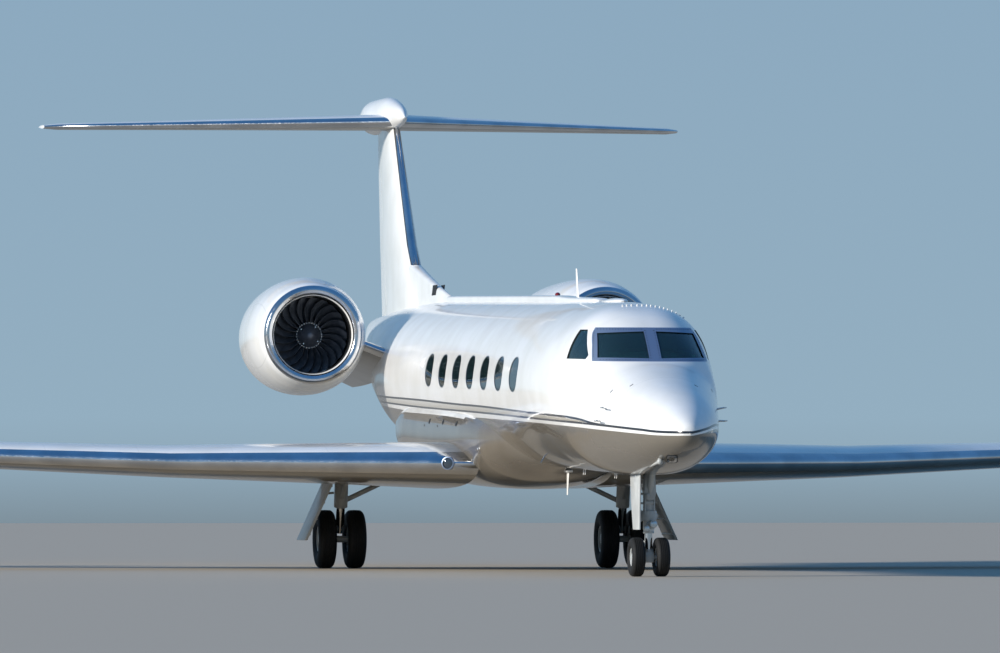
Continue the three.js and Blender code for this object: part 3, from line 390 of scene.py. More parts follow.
def moved_by(obj, centre, angle, axis):
    """Turns a piece's mesh about an axis through a point."""
    obj.data.transform(Matrix.Translation(centre) @ Matrix.Rotation(angle, 4,
            axis) @ Matrix.Translation(-centre))
    return obj


def boolean(obj, tool, operation):
    """Cuts, keeps or adds with another solid, as an applied modifier."""
    pick(obj)
    modifier = obj.modifiers.new("cut", "BOOLEAN")
    modifier.operation = operation
    modifier.object = tool
    modifier.solver = "EXACT"
    bpy.ops.object.modifier_apply(modifier=modifier.name)
    bpy.data.objects.remove(tool)
    return obj


def cut(obj, *tools):
    return boolean(obj, join("cutter", *tools), "DIFFERENCE")


def keep(obj, tool):
    return boolean(obj, tool, "INTERSECT")


def faces_where(obj, slot, test):
    """Gives a material slot to the faces whose centre passes a test."""
    for face in obj.data.polygons:
        if test(face.center, face.normal):
            face.material_index = slot


def smooth_on(obj, direction):
    """Shades the faces that lie on a smooth skin by that skin's own direction."""
    mesh = obj.data
    mesh.shade_smooth()
    normals = [Vector((0, 0, 0))] * len(mesh.loops)
    known = {}
    for face in mesh.polygons:
        n = direction(face.center)
        if n.dot(face.normal) > 0.97:
            for loop in face.loop_indices:
                v = mesh.loops[loop].vertex_index
                if v not in known:
                    known[v] = direction(mesh.vertices[v].co)
                normals[loop] = known[v]
        else:
            for loop in face.loop_indices:
                normals[loop] = face.normal.copy()
    mesh.normals_split_custom_set(normals)


def done(obj, body, *materials, stands_for=(), angle=32, form=None):
    """Finishes a piece: shading, finish, the body it rides on and the solids it stands for."""
    if form:
        smooth_on(obj, lambda p: outward(form, p))
    else:
        pick(obj)
        bpy.ops.object.shade_smooth_by_angle(angle=math.radians(angle))
    marks = [0] * len(obj.data.polygons)
    obj.data.polygons.foreach_get("material_index", marks)
    obj.data.materials.clear()
    for material in materials:
        obj.data.materials.append(material)
    obj.data.polygons.foreach_set("material_index", [min(mark, len(materials) - 1) for mark in marks])
    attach(obj, body)
    if stands_for:
        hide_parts(*stands_for)
    return obj


# Finishes
def colour(text):
    """Linear colour of an sRGB hex value."""
    parts = [int(text[i:i + 2], 16) / 255 for i in (1, 3, 5)]
    return (*[c / 12.92 if c <= 0.04045 else ((c + 0.055) / 1.055) ** 2.4 for c in parts], 1.0)


def add(tree, kind, inputs=(), **settings):
    """Adds a node with its settings, and gives its inputs values or links."""
    node = tree.nodes.new(kind)
    for key, value in settings.items():
        setattr(node, key, value)
    for key, value in dict(inputs).items():
        if isinstance(value, bpy.types.NodeSocket):
            tree.links.new(value, node.inputs[key])
        else:
            node.inputs[key].default_value = value
    return node


def finish(name, **surface):
    """A new material with its shader and the piece's own coordinates."""
    material = bpy.data.materials.new(name)
    material.use_nodes = True
    tree = material.node_tree
    tree.nodes.clear()
    output = tree.nodes.new("ShaderNodeOutputMaterial")
    shader = add(tree, "ShaderNodeBsdfPrincipled", {k.replace("_", " "): v for k, v in surface.items()})
    tree.links.new(shader.outputs[0], output.inputs[0])
    place = add(tree, "ShaderNodeTexCoord").outputs["Object"]
    return material, tree, shader, place


def link(tree, socket, shader, name):
    tree.links.new(socket, shader.inputs[name])


def mottle(tree, place, scale, low, high, detail=3.0):
    """A soft noise between two values: waviness, dust or wear."""
    noise = add(tree, "ShaderNodeTexNoise", {"Vector": place, "Scale": scale, "Detail": detail})
    return add(tree, "ShaderNodeMapRange", {
        "Value": noise.outputs["Fac"], "From Min": 0.35, "From Max": 0.65, "To Min": low, "To Max": high,
    }).outputs["Result"]


def layer(tree, factor, under, over):
    """One colour over another by a factor."""
    return add(tree, "ShaderNodeMix", {0: factor, 6: under, 7: over}, data_type="RGBA").outputs[2]


def painted(name, base, shade, roughness=0.22):
    """Two-part polyurethane, sprayed and polished: deep gloss over a faint orange peel."""
    material, tree, shader, place = finish(name, Roughness=roughness, Coat_Weight=0.6, Coat_Roughness=0.04)
    # the peel is about 8 mm across, drawn at 30 mm so that it shows as a slight unevenness of the gloss
    peel = add(tree, "ShaderNodeTexNoise", {"Vector": place, "Scale": 33.0, "Detail": 2.0})
    bump = add(tree, "ShaderNodeBump", {"Height": peel.outputs["Fac"], "Strength": 0.08, "Distance": 0.0006})
    link(tree, bump.outputs["Normal"], shader, "Normal")
    # dust and handling make the colour drift over half a metre or so
    drift = mottle(tree, place, 1.7, 0.0, 1.0, 5.0)
    body = layer(tree, drift, colour(base), colour(shade))
    link(tree, body, shader, "Base Color")
    return material, tree, shader, place, body


def height_line(tree, along, points):
    """Height of a painted line by station: (station in metres, level height in metres)."""
    node = add(tree, "ShaderNodeFloatCurve", {"Value": along})
    curve = node.mapping.curves[0]
    for station, z in points[1:-1]:
        curve.points.new(station / 29.39, (z - 1.9) / 0.6)
    curve.points[0].location = (points[0][0] / 29.39, (points[0][1] - 1.9) / 0.6)
    curve.points[-1].location = (points[-1][0] / 29.39, (points[-1][1] - 1.9) / 0.6)
    node.mapping.update()
    return add(tree, "ShaderNodeMath", {0: node.outputs[0], 1: 0.6, 2: 1.9},
               operation="MULTIPLY_ADD").outputs[0]


def stripe(tree, level, line, half_width):
    """1 on a painted line, 0 off it."""
    off = add(tree, "ShaderNodeMath", {0: level, 1: line}, operation="SUBTRACT").outputs[0]
    off = add(tree, "ShaderNodeMath", {0: off}, operation="ABSOLUTE").outputs[0]
    return add(tree, "ShaderNodeMapRange", {
        "Value": off, "From Min": half_width - 0.0015, "From Max": half_width + 0.0015, "To Min": 1.0,
        "To Max": 0.0,
    }).outputs["Result"]


def below(tree, level, line):
    """1 below a line, 0 above it."""
    off = add(tree, "ShaderNodeMath", {0: level, 1: line}, operation="SUBTRACT").outputs[0]
    return add(tree, "ShaderNodeMapRange", {
        "Value": off, "From Min": -0.002, "From Max": 0.002, "To Min": 1.0, "To Max": 0.0,
    }).outputs["Result"]


def joints(tree, along, pitch, offset, half_width):
    """Thin butt joints between skin sheets, one each pitch, in metres."""
    moved = add(tree, "ShaderNodeMath", {0: along, 1: offset}, operation="ADD").outputs[0]
    off = add(tree, "ShaderNodeMath", {0: moved, 1: pitch / 2}, operation="PINGPONG").outputs[0]
    return add(tree, "ShaderNodeMapRange", {
        "Value": off, "From Min": half_width, "From Max": half_width * 1.8, "To Min": 1.0, "To Max": 0.0,
    }).outputs["Result"]


UPPER_LINE = [(0.0, 2.030), (0.29, 2.030), (0.86, 2.054), (2.23, 2.097), (3.69, 2.184), (7.09, 2.222),
              (10.0, 2.248),
              (12.0, 2.253), (15.4, 2.275), (18.2, 2.282), (29.39, 2.300)]
LOWER_LINE = [(0.0, 2.026), (0.29, 2.026), (0.86, 2.050), (2.23, 2.091), (3.15, 2.110), (7.25, 2.142),
              (10.2, 2.155),
              (15.6, 2.166), (18.9, 2.192), (29.39, 2.250)]
BELLY_LINE = [(0.0, 1.985), (0.29, 1.982), (0.87, 1.997), (2.25, 2.029), (4.09, 2.062), (7.4, 2.076),
              (12.4, 2.078),
              (15.8, 2.085), (20.0, 2.140), (29.39, 2.200)]


def fuselage_paint():
    """White over warm grey, with two thin dark lines that run together at the nose."""
    material, tree, shader, place, body = painted("sprayed_fuselage_paint", "#F4F2EE", "#ECE9E2")
    axes = add(tree, "ShaderNodeSeparateXYZ", {"Vector": place})
    y, z = axes.outputs["Y"], axes.outputs["Z"]
    tilt = add(tree, "ShaderNodeMath", {0: y, 1: -LEAN, 2: -LEAN * (HALF_LENGTH - LEAN_PIVOT) / 1000},
               operation="MULTIPLY_ADD")
    level = add(tree, "ShaderNodeMath", {0: z, 1: tilt.outputs[0]}, operation="ADD").outputs[0]
    along = add(tree, "ShaderNodeMapRange", {
        "Value": y, "From Min": -HALF_LENGTH / 1000, "From Max": HALF_LENGTH / 1000, "To Min": 0.0,
        "To Max": 1.0,
    }).outputs["Result"]
    # round the tip the lines climb a little on the port side
    across = add(tree, "ShaderNodeMapRange",
                 {"Value": axes.outputs["X"], "From Min": 0.03, "From Max": 0.40,
                  "To Max": 0.072}).outputs["Result"]
    nearby = add(tree, "ShaderNodeMapRange",
                 {"Value": y, "From Min": -14.0, "From Max": -12.6, "To Min": 1.0,
                  "To Max": 0.0}).outputs["Result"]
    climb = add(tree, "ShaderNodeMath", {0: across, 1: nearby}, operation="MULTIPLY").outputs[0]
    level = add(tree, "ShaderNodeMath", {0: level, 1: climb}, operation="SUBTRACT").outputs[0]
    upper, lower, belly = [height_line(tree, along, line) for line in (UPPER_LINE, LOWER_LINE, BELLY_LINE)]
    between_lines = add(tree, "ShaderNodeMath", {
        0: below(tree, level, upper), 1: below(tree, lower, level)}, operation="MULTIPLY").outputs[0]
    fade = add(tree, "ShaderNodeMapRange",
               {"Value": level, "From Min": 2.13, "From Max": 2.27}).outputs["Result"]
    silver = layer(tree, fade, colour("#A79F90"), colour("#D8D4CB"))
    base = layer(tree, between_lines, body, silver)
    # below the belly line the warm grey livery, darkened beyond its own tone by painted shade
    base = layer(tree, below(tree, level, belly), base, colour("#736C61"))
    base = layer(tree, stripe(tree, level, upper, 0.0150), base, colour("#1F232B"))
    base = layer(tree, stripe(tree, level, lower, 0.0140), base, colour("#23262D"))
    seam = joints(tree, y, 2.42, 0.9, 0.0016)
    faint = add(tree, "ShaderNodeMath", {0: seam, 1: 0.35}, operation="MULTIPLY").outputs[0]
    base = layer(tree, faint, base, colour("#8C8A85"))
    link(tree, base, shader, "Base Color")
    return material


def white_paint():
    """The same top coat on wings, tail and cowls, with faint joints between the skin sheets."""
    material, tree, shader, place, body = painted("sprayed_white_paint", "#F4F2EE", "#EAE7E0")
    axes = add(tree, "ShaderNodeSeparateXYZ", {"Vector": place})
    seam = joints(tree, axes.outputs["X"], 1.31, 0.4, 0.0016)
    faint = add(tree, "ShaderNodeMath", {0: seam, 1: 0.3}, operation="MULTIPLY").outputs[0]
    base = layer(tree, faint, body, colour("#8C8A85"))
    link(tree, base, shader, "Base Color")
    return material


def belly_paint():
    """Warm grey top coat of the belly, darkened beyond its own tone by painted shade: a soft gloss, a little
    dusty.
    """
    return painted("sprayed_belly_paint_and_painted_shade", "#726B60", "#675F54", roughness=0.2)[0]


def polished_metal():
    """Leading edges and lips: aluminium polished bright, with fine wipe marks."""
    material, tree, shader, place = finish("polished_aluminium", Metallic=1.0, Roughness=0.16)
    # wipe marks about 4 mm apart, drawn at 20 mm, pulled long along the span
    stretched = add(tree, "ShaderNodeMapping", {"Vector": place, "Scale": (6.0, 50.0, 50.0)})
    marks = add(tree, "ShaderNodeTexNoise",
                {"Vector": stretched.outputs["Vector"], "Scale": 1.0, "Detail": 4.0})
    rough = add(tree, "ShaderNodeMapRange",
                {"Value": marks.outputs["Fac"], "From Min": 0.3, "From Max": 0.7, "To Min": 0.10,
                 "To Max": 0.22})
    link(tree, rough.outputs["Result"], shader, "Roughness")
    base = layer(tree, mottle(tree, place, 2.2, 0.0, 1.0), colour("#D5D6D8"), colour("#BFC1C4"))
    link(tree, base, shader, "Base Color")
    return material


def frame_metal():
    """Windscreen frame: machined aluminium, brushed along its bars; its blue-grey tint is a painted
    reflection of the sky.
    """
    material, tree, shader, place = finish("brushed_frame_aluminium_painted_sky_blue", Metallic=0.75, Roughness=0.42)
    grain = add(tree, "ShaderNodeMapping", {"Vector": place, "Scale": (40.0, 40.0, 400.0)})
    lines = add(tree, "ShaderNodeTexNoise", {"Vector": grain.outputs["Vector"], "Scale": 1.0, "Detail": 3.0})
    # both tones are blue-grey: a painted sky reflection, broken by the brushing grain
    base = layer(tree, lines.outputs["Fac"], colour("#9CAABF"), colour("#8393AC"))
    link(tree, base, shader, "Base Color")
    bump = add(tree, "ShaderNodeBump", {"Height": lines.outputs["Fac"], "Strength": 0.1, "Distance": 0.001})
    link(tree, bump.outputs["Normal"], shader, "Normal")
    return material


def glass(name, tint, clear):
    """Stretched acrylic over glass: a smooth dark teal pane, with a slight wave."""
    material, tree, shader, place = finish(name, Roughness=0.03, Transmission_Weight=clear, IOR=1.5)
    shader.inputs["Base Color"].default_value = colour(tint)
    wave = add(tree, "ShaderNodeTexNoise", {"Vector": place, "Scale": 3.0, "Detail": 1.0})
    bump = add(tree, "ShaderNodeBump", {"Height": wave.outputs["Fac"], "Strength": 0.05, "Distance": 0.004})
    link(tree, bump.outputs["Normal"], shader, "Normal")
    return material


def plain(name, base, shade, roughness, scale, grain, depth, metallic=0.0, coat=0.0):
    """A surface of one stuff: its colour drifts, and a fine grain breaks up the gloss."""
    material, tree, shader, place = finish(name, Metallic=metallic, Roughness=roughness, Coat_Weight=coat)
    base_mix = layer(tree, mottle(tree, place, scale, 0.0, 1.0), colour(base), colour(shade))
    link(tree, base_mix, shader, "Base Color")
    fine = add(tree, "ShaderNodeTexNoise", {"Vector": place, "Scale": grain, "Detail": 2.0})
    bump = add(tree, "ShaderNodeBump", {"Height": fine.outputs["Fac"], "Strength": 0.3, "Distance": depth})
    link(tree, bump.outputs["Normal"], shader, "Normal")
    rough = add(tree, "ShaderNodeMapRange", {
        "Value": fine.outputs["Fac"], "From Min": 0.3, "From Max": 0.7, "To Min": roughness * 0.85,
        "To Max": min(1.0, roughness * 1.2)})
    link(tree, rough.outputs["Result"], shader, "Roughness")
    return material


FUSELAGE = fuselage_paint()
WHITE = white_paint()
BELLY_PAINT_AND_SHADE = belly_paint()
POLISHED = polished_metal()
FRAME_METAL_SKY_BLUE = frame_metal()
SCREEN_GLASS = glass("laminated_windscreen_glass", "#5F8A8E", 0.93)
CABIN_GLASS = glass("stretched_acrylic_window", "#4E7073", 0.9)
# Rubber dull, enamel half gloss, chrome a mirror, fan and nozzle metals dark with a worked sheen
RUBBER = plain("tyre_rubber", "#0C0D0E", "#131313", 0.75, 3.0, 160.0, 0.0008)
GEAR = plain("grey_gear_enamel", "#C4C6C4", "#B3B5B3", 0.38, 4.0, 90.0, 0.0003, coat=0.2)
CHROME = plain("hard_chromed_steel", "#D8DADC", "#C8CACC", 0.08, 5.0, 200.0, 0.00005, metallic=1.0)
FAN_METAL = plain("dark_fan_titanium", "#6A6E76", "#555A62", 0.38, 8.0, 60.0, 0.0004, metallic=0.45)
HOT_METAL = plain("heat_tinted_steel", "#8C8074", "#6E655E", 0.32, 3.0, 60.0, 0.0006, metallic=1.0)
# Seals are black rubber; the black of the intake, the bypass duct, the vents and the slots is painted shade
# for the dark of those hollows, and the same black colours screw heads, ports, wicks and the lamp surround;
# laminate and leather are soft and matt
BLACK_AND_HOLLOW_SHADE = plain("black_paint_and_painted_hollow_shade", "#101214", "#17191B", 0.6, 4.0, 60.0, 0.0005)
LINER = plain("cabin_wall_laminate", "#CFC6B6", "#BFB5A4", 0.6, 5.0, 200.0, 0.0003)
DASH = plain("glareshield_leather", "#8FA89C", "#7B9387", 0.7, 12.0, 400.0, 0.0006)
SEAT = plain("seat_leather", "#6A6258", "#5A5248", 0.6, 9.0, 300.0, 0.0006)
RIM_METAL = plain("anodised_window_rim", "#9EA3A6", "#8B9094", 0.4, 6.0, 150.0, 0.0002, metallic=0.8)
# Lamp lenses: smooth and bright at their edges
LAMP_RED = plain("red_lamp_lens", "#7A1512", "#641010", 0.12, 6.0, 100.0, 0.0001, coat=0.5)
LAMP_CLEAR = plain("clear_lamp_lens", "#D9E3E8", "#C3D0D8", 0.08, 6.0, 100.0, 0.0001, metallic=0.4, coat=0.8)
SEAL = plain("black_rubber_seal", "#15171A", "#1C1E20", 0.6, 6.0, 120.0, 0.0004)
LAMP_DARK = plain("deep_lamp_glass", "#3C4650", "#2C343C", 0.08, 6.0, 100.0, 0.0001, metallic=0.2, coat=0.8)
LAMP_GREEN = plain("green_lamp_lens", "#12663A", "#0F5831", 0.12, 6.0, 100.0, 0.0001, coat=0.5)
# Darker warm grey for the faces that look down on wings, tail and pylons: painted shade over their white
# paint
UNDERSIDE_SHADE = painted("underside_painted_shade", "#7C766B", "#6E675C", roughness=0.3)[0]
DARK_CASE = plain("engine_case_alloy", "#4A4A4C", "#3A3A3C", 0.45, 4.0, 60.0, 0.0006, metallic=0.8)
# Pale blue for the outer faces of the main gear doors: painted shade lit by the blue sky, on white paint
DOOR_SKY_SHADE = painted("door_painted_sky_shade", "#C3D0DE", "#B4C2D2", roughness=0.25)[0]

# Stage
deselect()
bpy.ops.mesh.primitive_grid_add(x_subdivisions=8, y_subdivisions=8, size=400, location=(0, 20, 0))
floor = new("floor")
ground, _, ground_shader, _ = finish("pale_studio_floor", Roughness=0.85)
ground_shader.inputs["Base Color"].default_value = colour("#B9AC99")
floor.data.materials.append(ground)

world = bpy.data.worlds.new("soft_studio")
bpy.context.scene.world = world
world.use_nodes = True
sky = world.node_tree
sky.nodes.clear()
look = add(sky, "ShaderNodeTexCoord")
rise = add(sky, "ShaderNodeSeparateXYZ", {"Vector": look.outputs["Generated"]})
ramp = add(sky, "ShaderNodeValToRGB", {"Fac": add(sky, "ShaderNodeMapRange", {
    "Value": rise.outputs["Z"], "From Min": -0.3, "From Max": 1.0}).outputs["Result"]})
stops = ramp.color_ramp.elements
stops[0].position, stops[0].color = 0.0, colour("#5F6468")
stops[1].position, stops[1].color = 1.0, colour("#3F78B8")
for where, tint in ((0.222, "#6F7679"), (0.236, "#9DB9CC"), (0.5, "#5F92C4")):
    stop = stops.new(where)
    stop.color = colour(tint)
background = add(sky, "ShaderNodeBackground", {"Color": ramp.outputs["Color"], "Strength": 0.88})
sky.links.new(background.outputs[0], add(sky, "ShaderNodeOutputWorld").inputs[0])

deselect()
bpy.ops.object.light_add(type="SUN", location=(-30, -60, 50))
sun = bpy.context.view_layer.objects.active
sun.name = "key_light"
sun_round, sun_height = math.radians(76), math.radians(18)
toward = Vector((-math.sin(sun_round) * math.cos(sun_height), -math.cos(sun_round) * math.cos(sun_height),
                 math.sin(sun_height)))
sun.rotation_euler = (-toward).to_track_quat("-Z", "Y").to_euler()
sun.data.energy = 4.6
sun.data.angle = math.radians(6)
sun.data.color = (1.0, 0.965, 0.91)
bpy.context.scene.view_settings.view_transform = "Standard"

# Fitted camera: 123 m off, 1.08 m above the ground, looking a little up and across the nose
deselect()
bpy.ops.object.camera_add(location=(-20.92, -121.555, 1.08))
camera = bpy.context.view_layer.objects.active
camera.name = "camera"
yaw, pitch = math.radians(9.742), math.radians(1.195)
ahead = Vector((math.sin(yaw) * math.cos(pitch), math.cos(yaw) * math.cos(pitch), math.sin(pitch)))
camera.rotation_euler = ahead.to_track_quat("-Z", "Y").to_euler()
camera.data.lens = 294.95
camera.data.sensor_width = 36
camera.data.clip_end = 1000
bpy.context.scene.camera = camera

# Fuselage
def on_body(p):
    return outward(BODY, p)


def body_solid(name, start, end, inset=0.0, step=160.0, sides=ROUND):
    """The fuselage's form between two stations, drawn in by an inset."""
    return skin(name, [section(BODY, s, inset, sides) for s in stations(start, end, step)])


def body_layer(name, start, end, outer, inner, **grid):
    """The layer of the fuselage wall between two depths."""
    return cut(body_solid(name, start, end, outer, **grid),
               body_solid("tool", start - 10, end + 10, inner, **grid))


nose_marks = [0, 6, 14, 26, 40, 60, 85, 115, 150, 200, 260, 330, 410, 500, 600, 710, 830, 950]
radome = skin("radome_shell", [section(BODY, s) for s in nose_marks])
done(radome, "airframe", FUSELAGE, stands_for=["radome"], form=BODY)

hollow = cut(body_solid("hollow", 2250, 17600, WALL), block(at(-1400, 2000, -500), at(1400, 18000, FLOOR_Z)))

cockpit = cut(body_solid("cockpit_skin", 950.6, 4560, step=90), copy_of(hollow, "tool"),
              block(at(-245, 2560, 1200), at(245, 3420, 1720)))
cut(cockpit, side_prism(BAND, -1400, 1400))
for side in (1, -1):
    cut(cockpit, side_prism(SIDE_PANE, 500 * side, 1400 * side))
faces_where(cockpit, 2, lambda c, n: abs(n.dot(on_body(c))) < 0.8 and c.z > 2.9 and c.y > -12.4)
faces_where(cockpit, 1, lambda c, n: depth_in(BODY, c) < -0.16)
done(cockpit, "airframe", FUSELAGE, LINER, SEAL, stands_for=["cockpit_section"], form=BODY)


def window_outline(s, grow=0.0):
    """An oval window seen from the side, a little squarer than an ellipse."""
    points = []
    for i in range(40):
        t = 2 * math.pi * i / 40
        u, v = [math.copysign(abs(w) ** 0.86, w) for w in (math.cos(t), math.sin(t))]
        points.append((s + (WINDOW_HALF_LENGTH + grow) * u, WINDOW_Z + (WINDOW_HALF_HEIGHT + grow) * v))
    return points


cabin = cut(body_solid("cabin_skin", 4560.3, 18300, step=200), hollow)
windows = [side_prism(window_outline(s), -1300, 1300) for s in WINDOW_STATIONS]
cut(cabin, *windows)
cut(cabin, block(at(600, DOOR_FRONT, DOOR_FOOT - 15), at(1300, DOOR_REAR, DOOR_HEAD)))
faces_where(cabin, 1, lambda c, n: depth_in(BODY, c) < -0.05)
done(cabin, "airframe", FUSELAGE, LINER, stands_for=["cabin_section"], form=BODY)

tail_cone = cut(body_solid("tail_cone_skin", 18300.3, 26900, step=250), turned(
    "tool", [(0.1, -400), (120, -400), (135, 10), (0.1, 10)], at(0, 26900, leaned(26900, 3305)), "Y", 32))
done(tail_cone, "airframe", FUSELAGE, stands_for=["tail_cone"], form=BODY)

# Entry door: a piece of the cabin wall, its treads on the inner face
door = body_layer("entry_door_skin", 4400, 5800, 0.0, WALL, step=80)
keep(door, block(at(600, DOOR_FRONT + 14, DOOR_FOOT + 22), at(1300, DOOR_REAR - 14, DOOR_HEAD - 14)))
faces_where(door, 1, lambda c, n: depth_in(BODY, c) < -0.05)
treads = []
for z in (2010, 2270, 2530, 2790, 3050):
    wall = math.sqrt(1095 ** 2 - (z - 2575) ** 2)
    run, lift = math.cos(math.radians(40)), math.sin(math.radians(40))
    corners = [(0, 0), (240, 0), (240, 34), (0, 34)]
    outline = [(wall + 30 - a * run + b * lift, z + a * lift + b * run) for a, b in corners]
    treads.append(plate([at(x, DOOR_FRONT + 90, leaned(5080, h)) for x, h in outline], (0, 0.74, 0), "tread",
                        0.004))
done(join("entry_door_treads", *treads), "entry_door_body", GEAR)
done(door, "entry_door_body", FUSELAGE, LINER, stands_for=["entry_door"], form=BODY)

# Windscreen frame and panes
frame_shell = body_layer("windscreen_surround", 2250, 4300, 0.0, 14, step=70, sides=128)
keep(frame_shell, side_prism(BAND, -1390, 1390))
for side in (1, -1):
    cut(frame_shell, plate([at(x * side, 2300, z - 25) for x, z in FRONT_PANE], (0, 1.5, 0), "tool"))
faces_where(frame_shell, 1, lambda c, n: abs(n.dot(on_body(c))) < 0.9)
# the frame takes the brushed metal with its painted sky reflection
done(frame_shell, "airframe", FRAME_METAL_SKY_BLUE, SEAL, stands_for=["windscreen_frame"], form=BODY)

screen = body_layer("windscreen_panes", 2250, 4300, 14.3, 34.3, step=70, sides=128)
keep(screen, side_prism([(2350, 2953), (3880, 2953), (3850, 3412), (2350, 3418)], -1390, 1390))
done(screen, "airframe", SCREEN_GLASS, stands_for=["windscreen_glass"], form=BODY)


def front_point(x, z):
    """Point of the hull's front face at a width and an unleaned height."""
    near, far = 2250.0, 4300.0
    for _ in range(40):
        middle = (near + far) / 2
        if depth_in(BODY, at(x, middle, leaned(middle, z))) < 0:
            far = middle
        else:
            near = middle
    return at(x, far, leaned(far, z))


def side_point(s, z, side=-1):
    return at(side * side_x(s, z), s, leaned(s, z))


def studs(name, places, radius, height):
    """Screw heads let into the skin at each place, square to it."""
    heads = []
    for p in places:
        n = on_body(p)
        heads.append(bar(p - n * 0.004, p + n * height, radius, radius * 0.7, 8))
    return join(name, *heads)


frame_screws = [front_point(x * side, z) for z, reach in ((2974, 745), (3391, 655))
                for x in range(105, reach, 34) for side in (1, -1)]
frame_screws += [front_point(62 * side, z) for z in range(3000, 3380, 34) for side in (1, -1)]
for s in range(2965, 3370, 30):
    z = (2953 + (s - 2921) * 0.953 if s < 3154 else 3175 + (s - 3154) * 0.756) + 4
    for side in (1, -1):
        frame_screws.append(side_point(s - 16, z + 16, side))
done(studs("windscreen_frame_screws", frame_screws, 0.0085, 0.0025), "airframe", BLACK_AND_HOLLOW_SHADE)
crown_ring = section(BODY, 3900, 0, 720)
crown_screws = []
walked, last = 0.0, None
for ring_point in sorted([q for q in crown_ring if -0.2 < q.x < 0.66 and q.z > 3.2], key=lambda q: q.x):
    walked = walked + (ring_point - last).length if last else 0.055
    last = ring_point
    if walked >= 0.055:
        crown_screws.append(ring_point)
        walked = 0.0
done(studs("roof_joint_screws", crown_screws, 0.015, 0.018), "airframe", WHITE)

# Glareshield with its coaming roll, and the pilots' seats behind it
dash = plate([at(-640, s, leaned(s, z)) for s, z in (
    (2640, 2240), (2880, 2240), (2960, 2760), (3240, 2900), (3290, 3060), (3240, 3098), (2680, 2960),
    (2640, 2860))],
    (1.28, 0, 0), "glareshield_moulding", 0.022)
done(dash, "airframe", DASH, stands_for=["glareshield"])


def seat(name, x, s, floor, width=500.0, back=620.0):
    """Upholstered seat on a pedestal: cushion, back, headrest and two arms."""
    half, lean_back = width / 2, 110.0
    parts = [
        block(at(x - half + 60, s + 60, floor), at(x + half - 60, s + 400, floor + 300), 0.02),
        block(at(x - half + 40, s, floor + 300), at(x + half - 40, s + 500, floor + 430), 0.045),
        plate([at(x - half + 40, s + 430 + a, floor + b) for a, b in (
            (0, 380), (120, 380), (120 + lean_back, 380 + back), (lean_back, 380 + back))],
            ((width - 80) / 1000, 0, 0), "back", 0.04),
        block(at(x - 120, s + 430 + lean_back, floor + 400 + back),
              at(x + 120, s + 530 + lean_back, floor + 560 + back), 0.03),
    ]
    for side in (1, -1):
        parts.append(block(at(x + side * half - 35, s + 60, floor + 480),
                           at(x + side * half + 35, s + 440, floor + 560), 0.02))
    return join(name, *parts)


for side, word in SIDES:
    done(seat("pilot_seat_" + word, 420 * side, 3380, FLOOR_Z + 2), "airframe", SEAT)
cabin_seats = [seat("seat", 690 * side, s, leaned(s, FLOOR_Z) + 2, 560, 560)
               for s in (6900, 8700, 10300, 12100, 13700, 15300) for side in (1, -1)]
done(join("cabin_seats", *cabin_seats), "airframe", SEAT)

# Cabin windows: an acrylic pane in a thin bright rim, a few millimetres inside the skin line
for side, word in SIDES:
    def ovals(grow):
        return [side_prism(window_outline(s, grow), 900 * side, 1300 * side) for s in WINDOW_STATIONS]

    shell = body_layer("cabin_panes_" + word, 6500, 14900, 7, 16, sides=192)
    keep(shell, join("ovals", *ovals(-13)))
    done(shell, "airframe", CABIN_GLASS, stands_for=["cabin_glass_" + word], form=BODY)
    rim = body_layer("cabin_window_rims_" + word, 6500, 14900, 1.5, 24, sides=192)
    keep(rim, join("ovals", *ovals(-0.5)))
    cut(rim, *ovals(-13))
    done(rim, "airframe", RIM_METAL, form=BODY)

# Crown: ridge fairing, low antenna dome, blade antenna and small lamp
SPINE = [(6480, 60, 20), (6620, 120, 48), (8500, 150, 66), (9600, 150, 88), (19020, 150, 90)]
rings = []
for k in range(len(SPINE) - 1):
    for share in [i / 6 for i in range(6)] + ([1] if k == len(SPINE) - 2 else []):
        s = SPINE[k][0] + (SPINE[k + 1][0] - SPINE[k][0]) * share
        w, h = between(SPINE, s)[1:]
        crown = leaned(s, between(BODY, s)[2]) + h
        drop = h + 60
        ring = [at(-w, s, crown - drop)]
        for i in range(13):
            t = math.pi * i / 12
            ring.append(at(-w * math.copysign(abs(math.cos(t)) ** 0.6, math.cos(t)), s,
                           crown - 40 + 40 * math.sin(t) ** 0.7))
        rings.append(ring + [at(w, s, crown - drop)])
spine = skin("spine_ridge", rings)
cut(spine, *[block(at(-400, s, 3000), at(400, s + 9, 5000)) for s in (14100, 14750)])
done(spine, "airframe", WHITE, stands_for=["spine_fairing"], angle=40)


def dome(name, x, s, z, half, segments=32):
    """A low dome or ball, by its three half sizes."""
    deselect()
    bpy.ops.mesh.primitive_uv_sphere_add(segments=segments, ring_count=segments // 2, radius=1,
                                         location=at(x, s, z), scale=[h / 1000 for h in half])
    obj = new(name)
    bpy.ops.object.transform_apply(location=True, rotation=True, scale=True)
    return obj


done(dome("crown_antenna_dome", 0, 5560, leaned(5560, 3762), (140, 720, 52)), "airframe", WHITE)


def blade(name, root, tip, chords, thick):
    """A small swept blade: lens section, from a root point to a tip point in metres."""
    root, tip = Vector(root), Vector(tip)
    span = (tip - root).normalized()
    side = span.cross(Vector((0, 1, 0))).normalized()
    rings = []
    for t in (0, 0.5, 1):
        c = (chords[0] + (chords[1] - chords[0]) * t) / 2000
        w = thick / 2000 * (1 - 0.45 * t)
        middle = root.lerp(tip, t)
        rings.append([middle + Vector((0, 1, 0)) * c * math.cos(a) + side * w * math.sin(a)
                      for a in [math.pi * i / 6 for i in range(12)]])
    return skin(name, rings)


def crown_point(s, lift):
    return at(0, s, leaned(s, between(BODY, s)[2]) + lift)


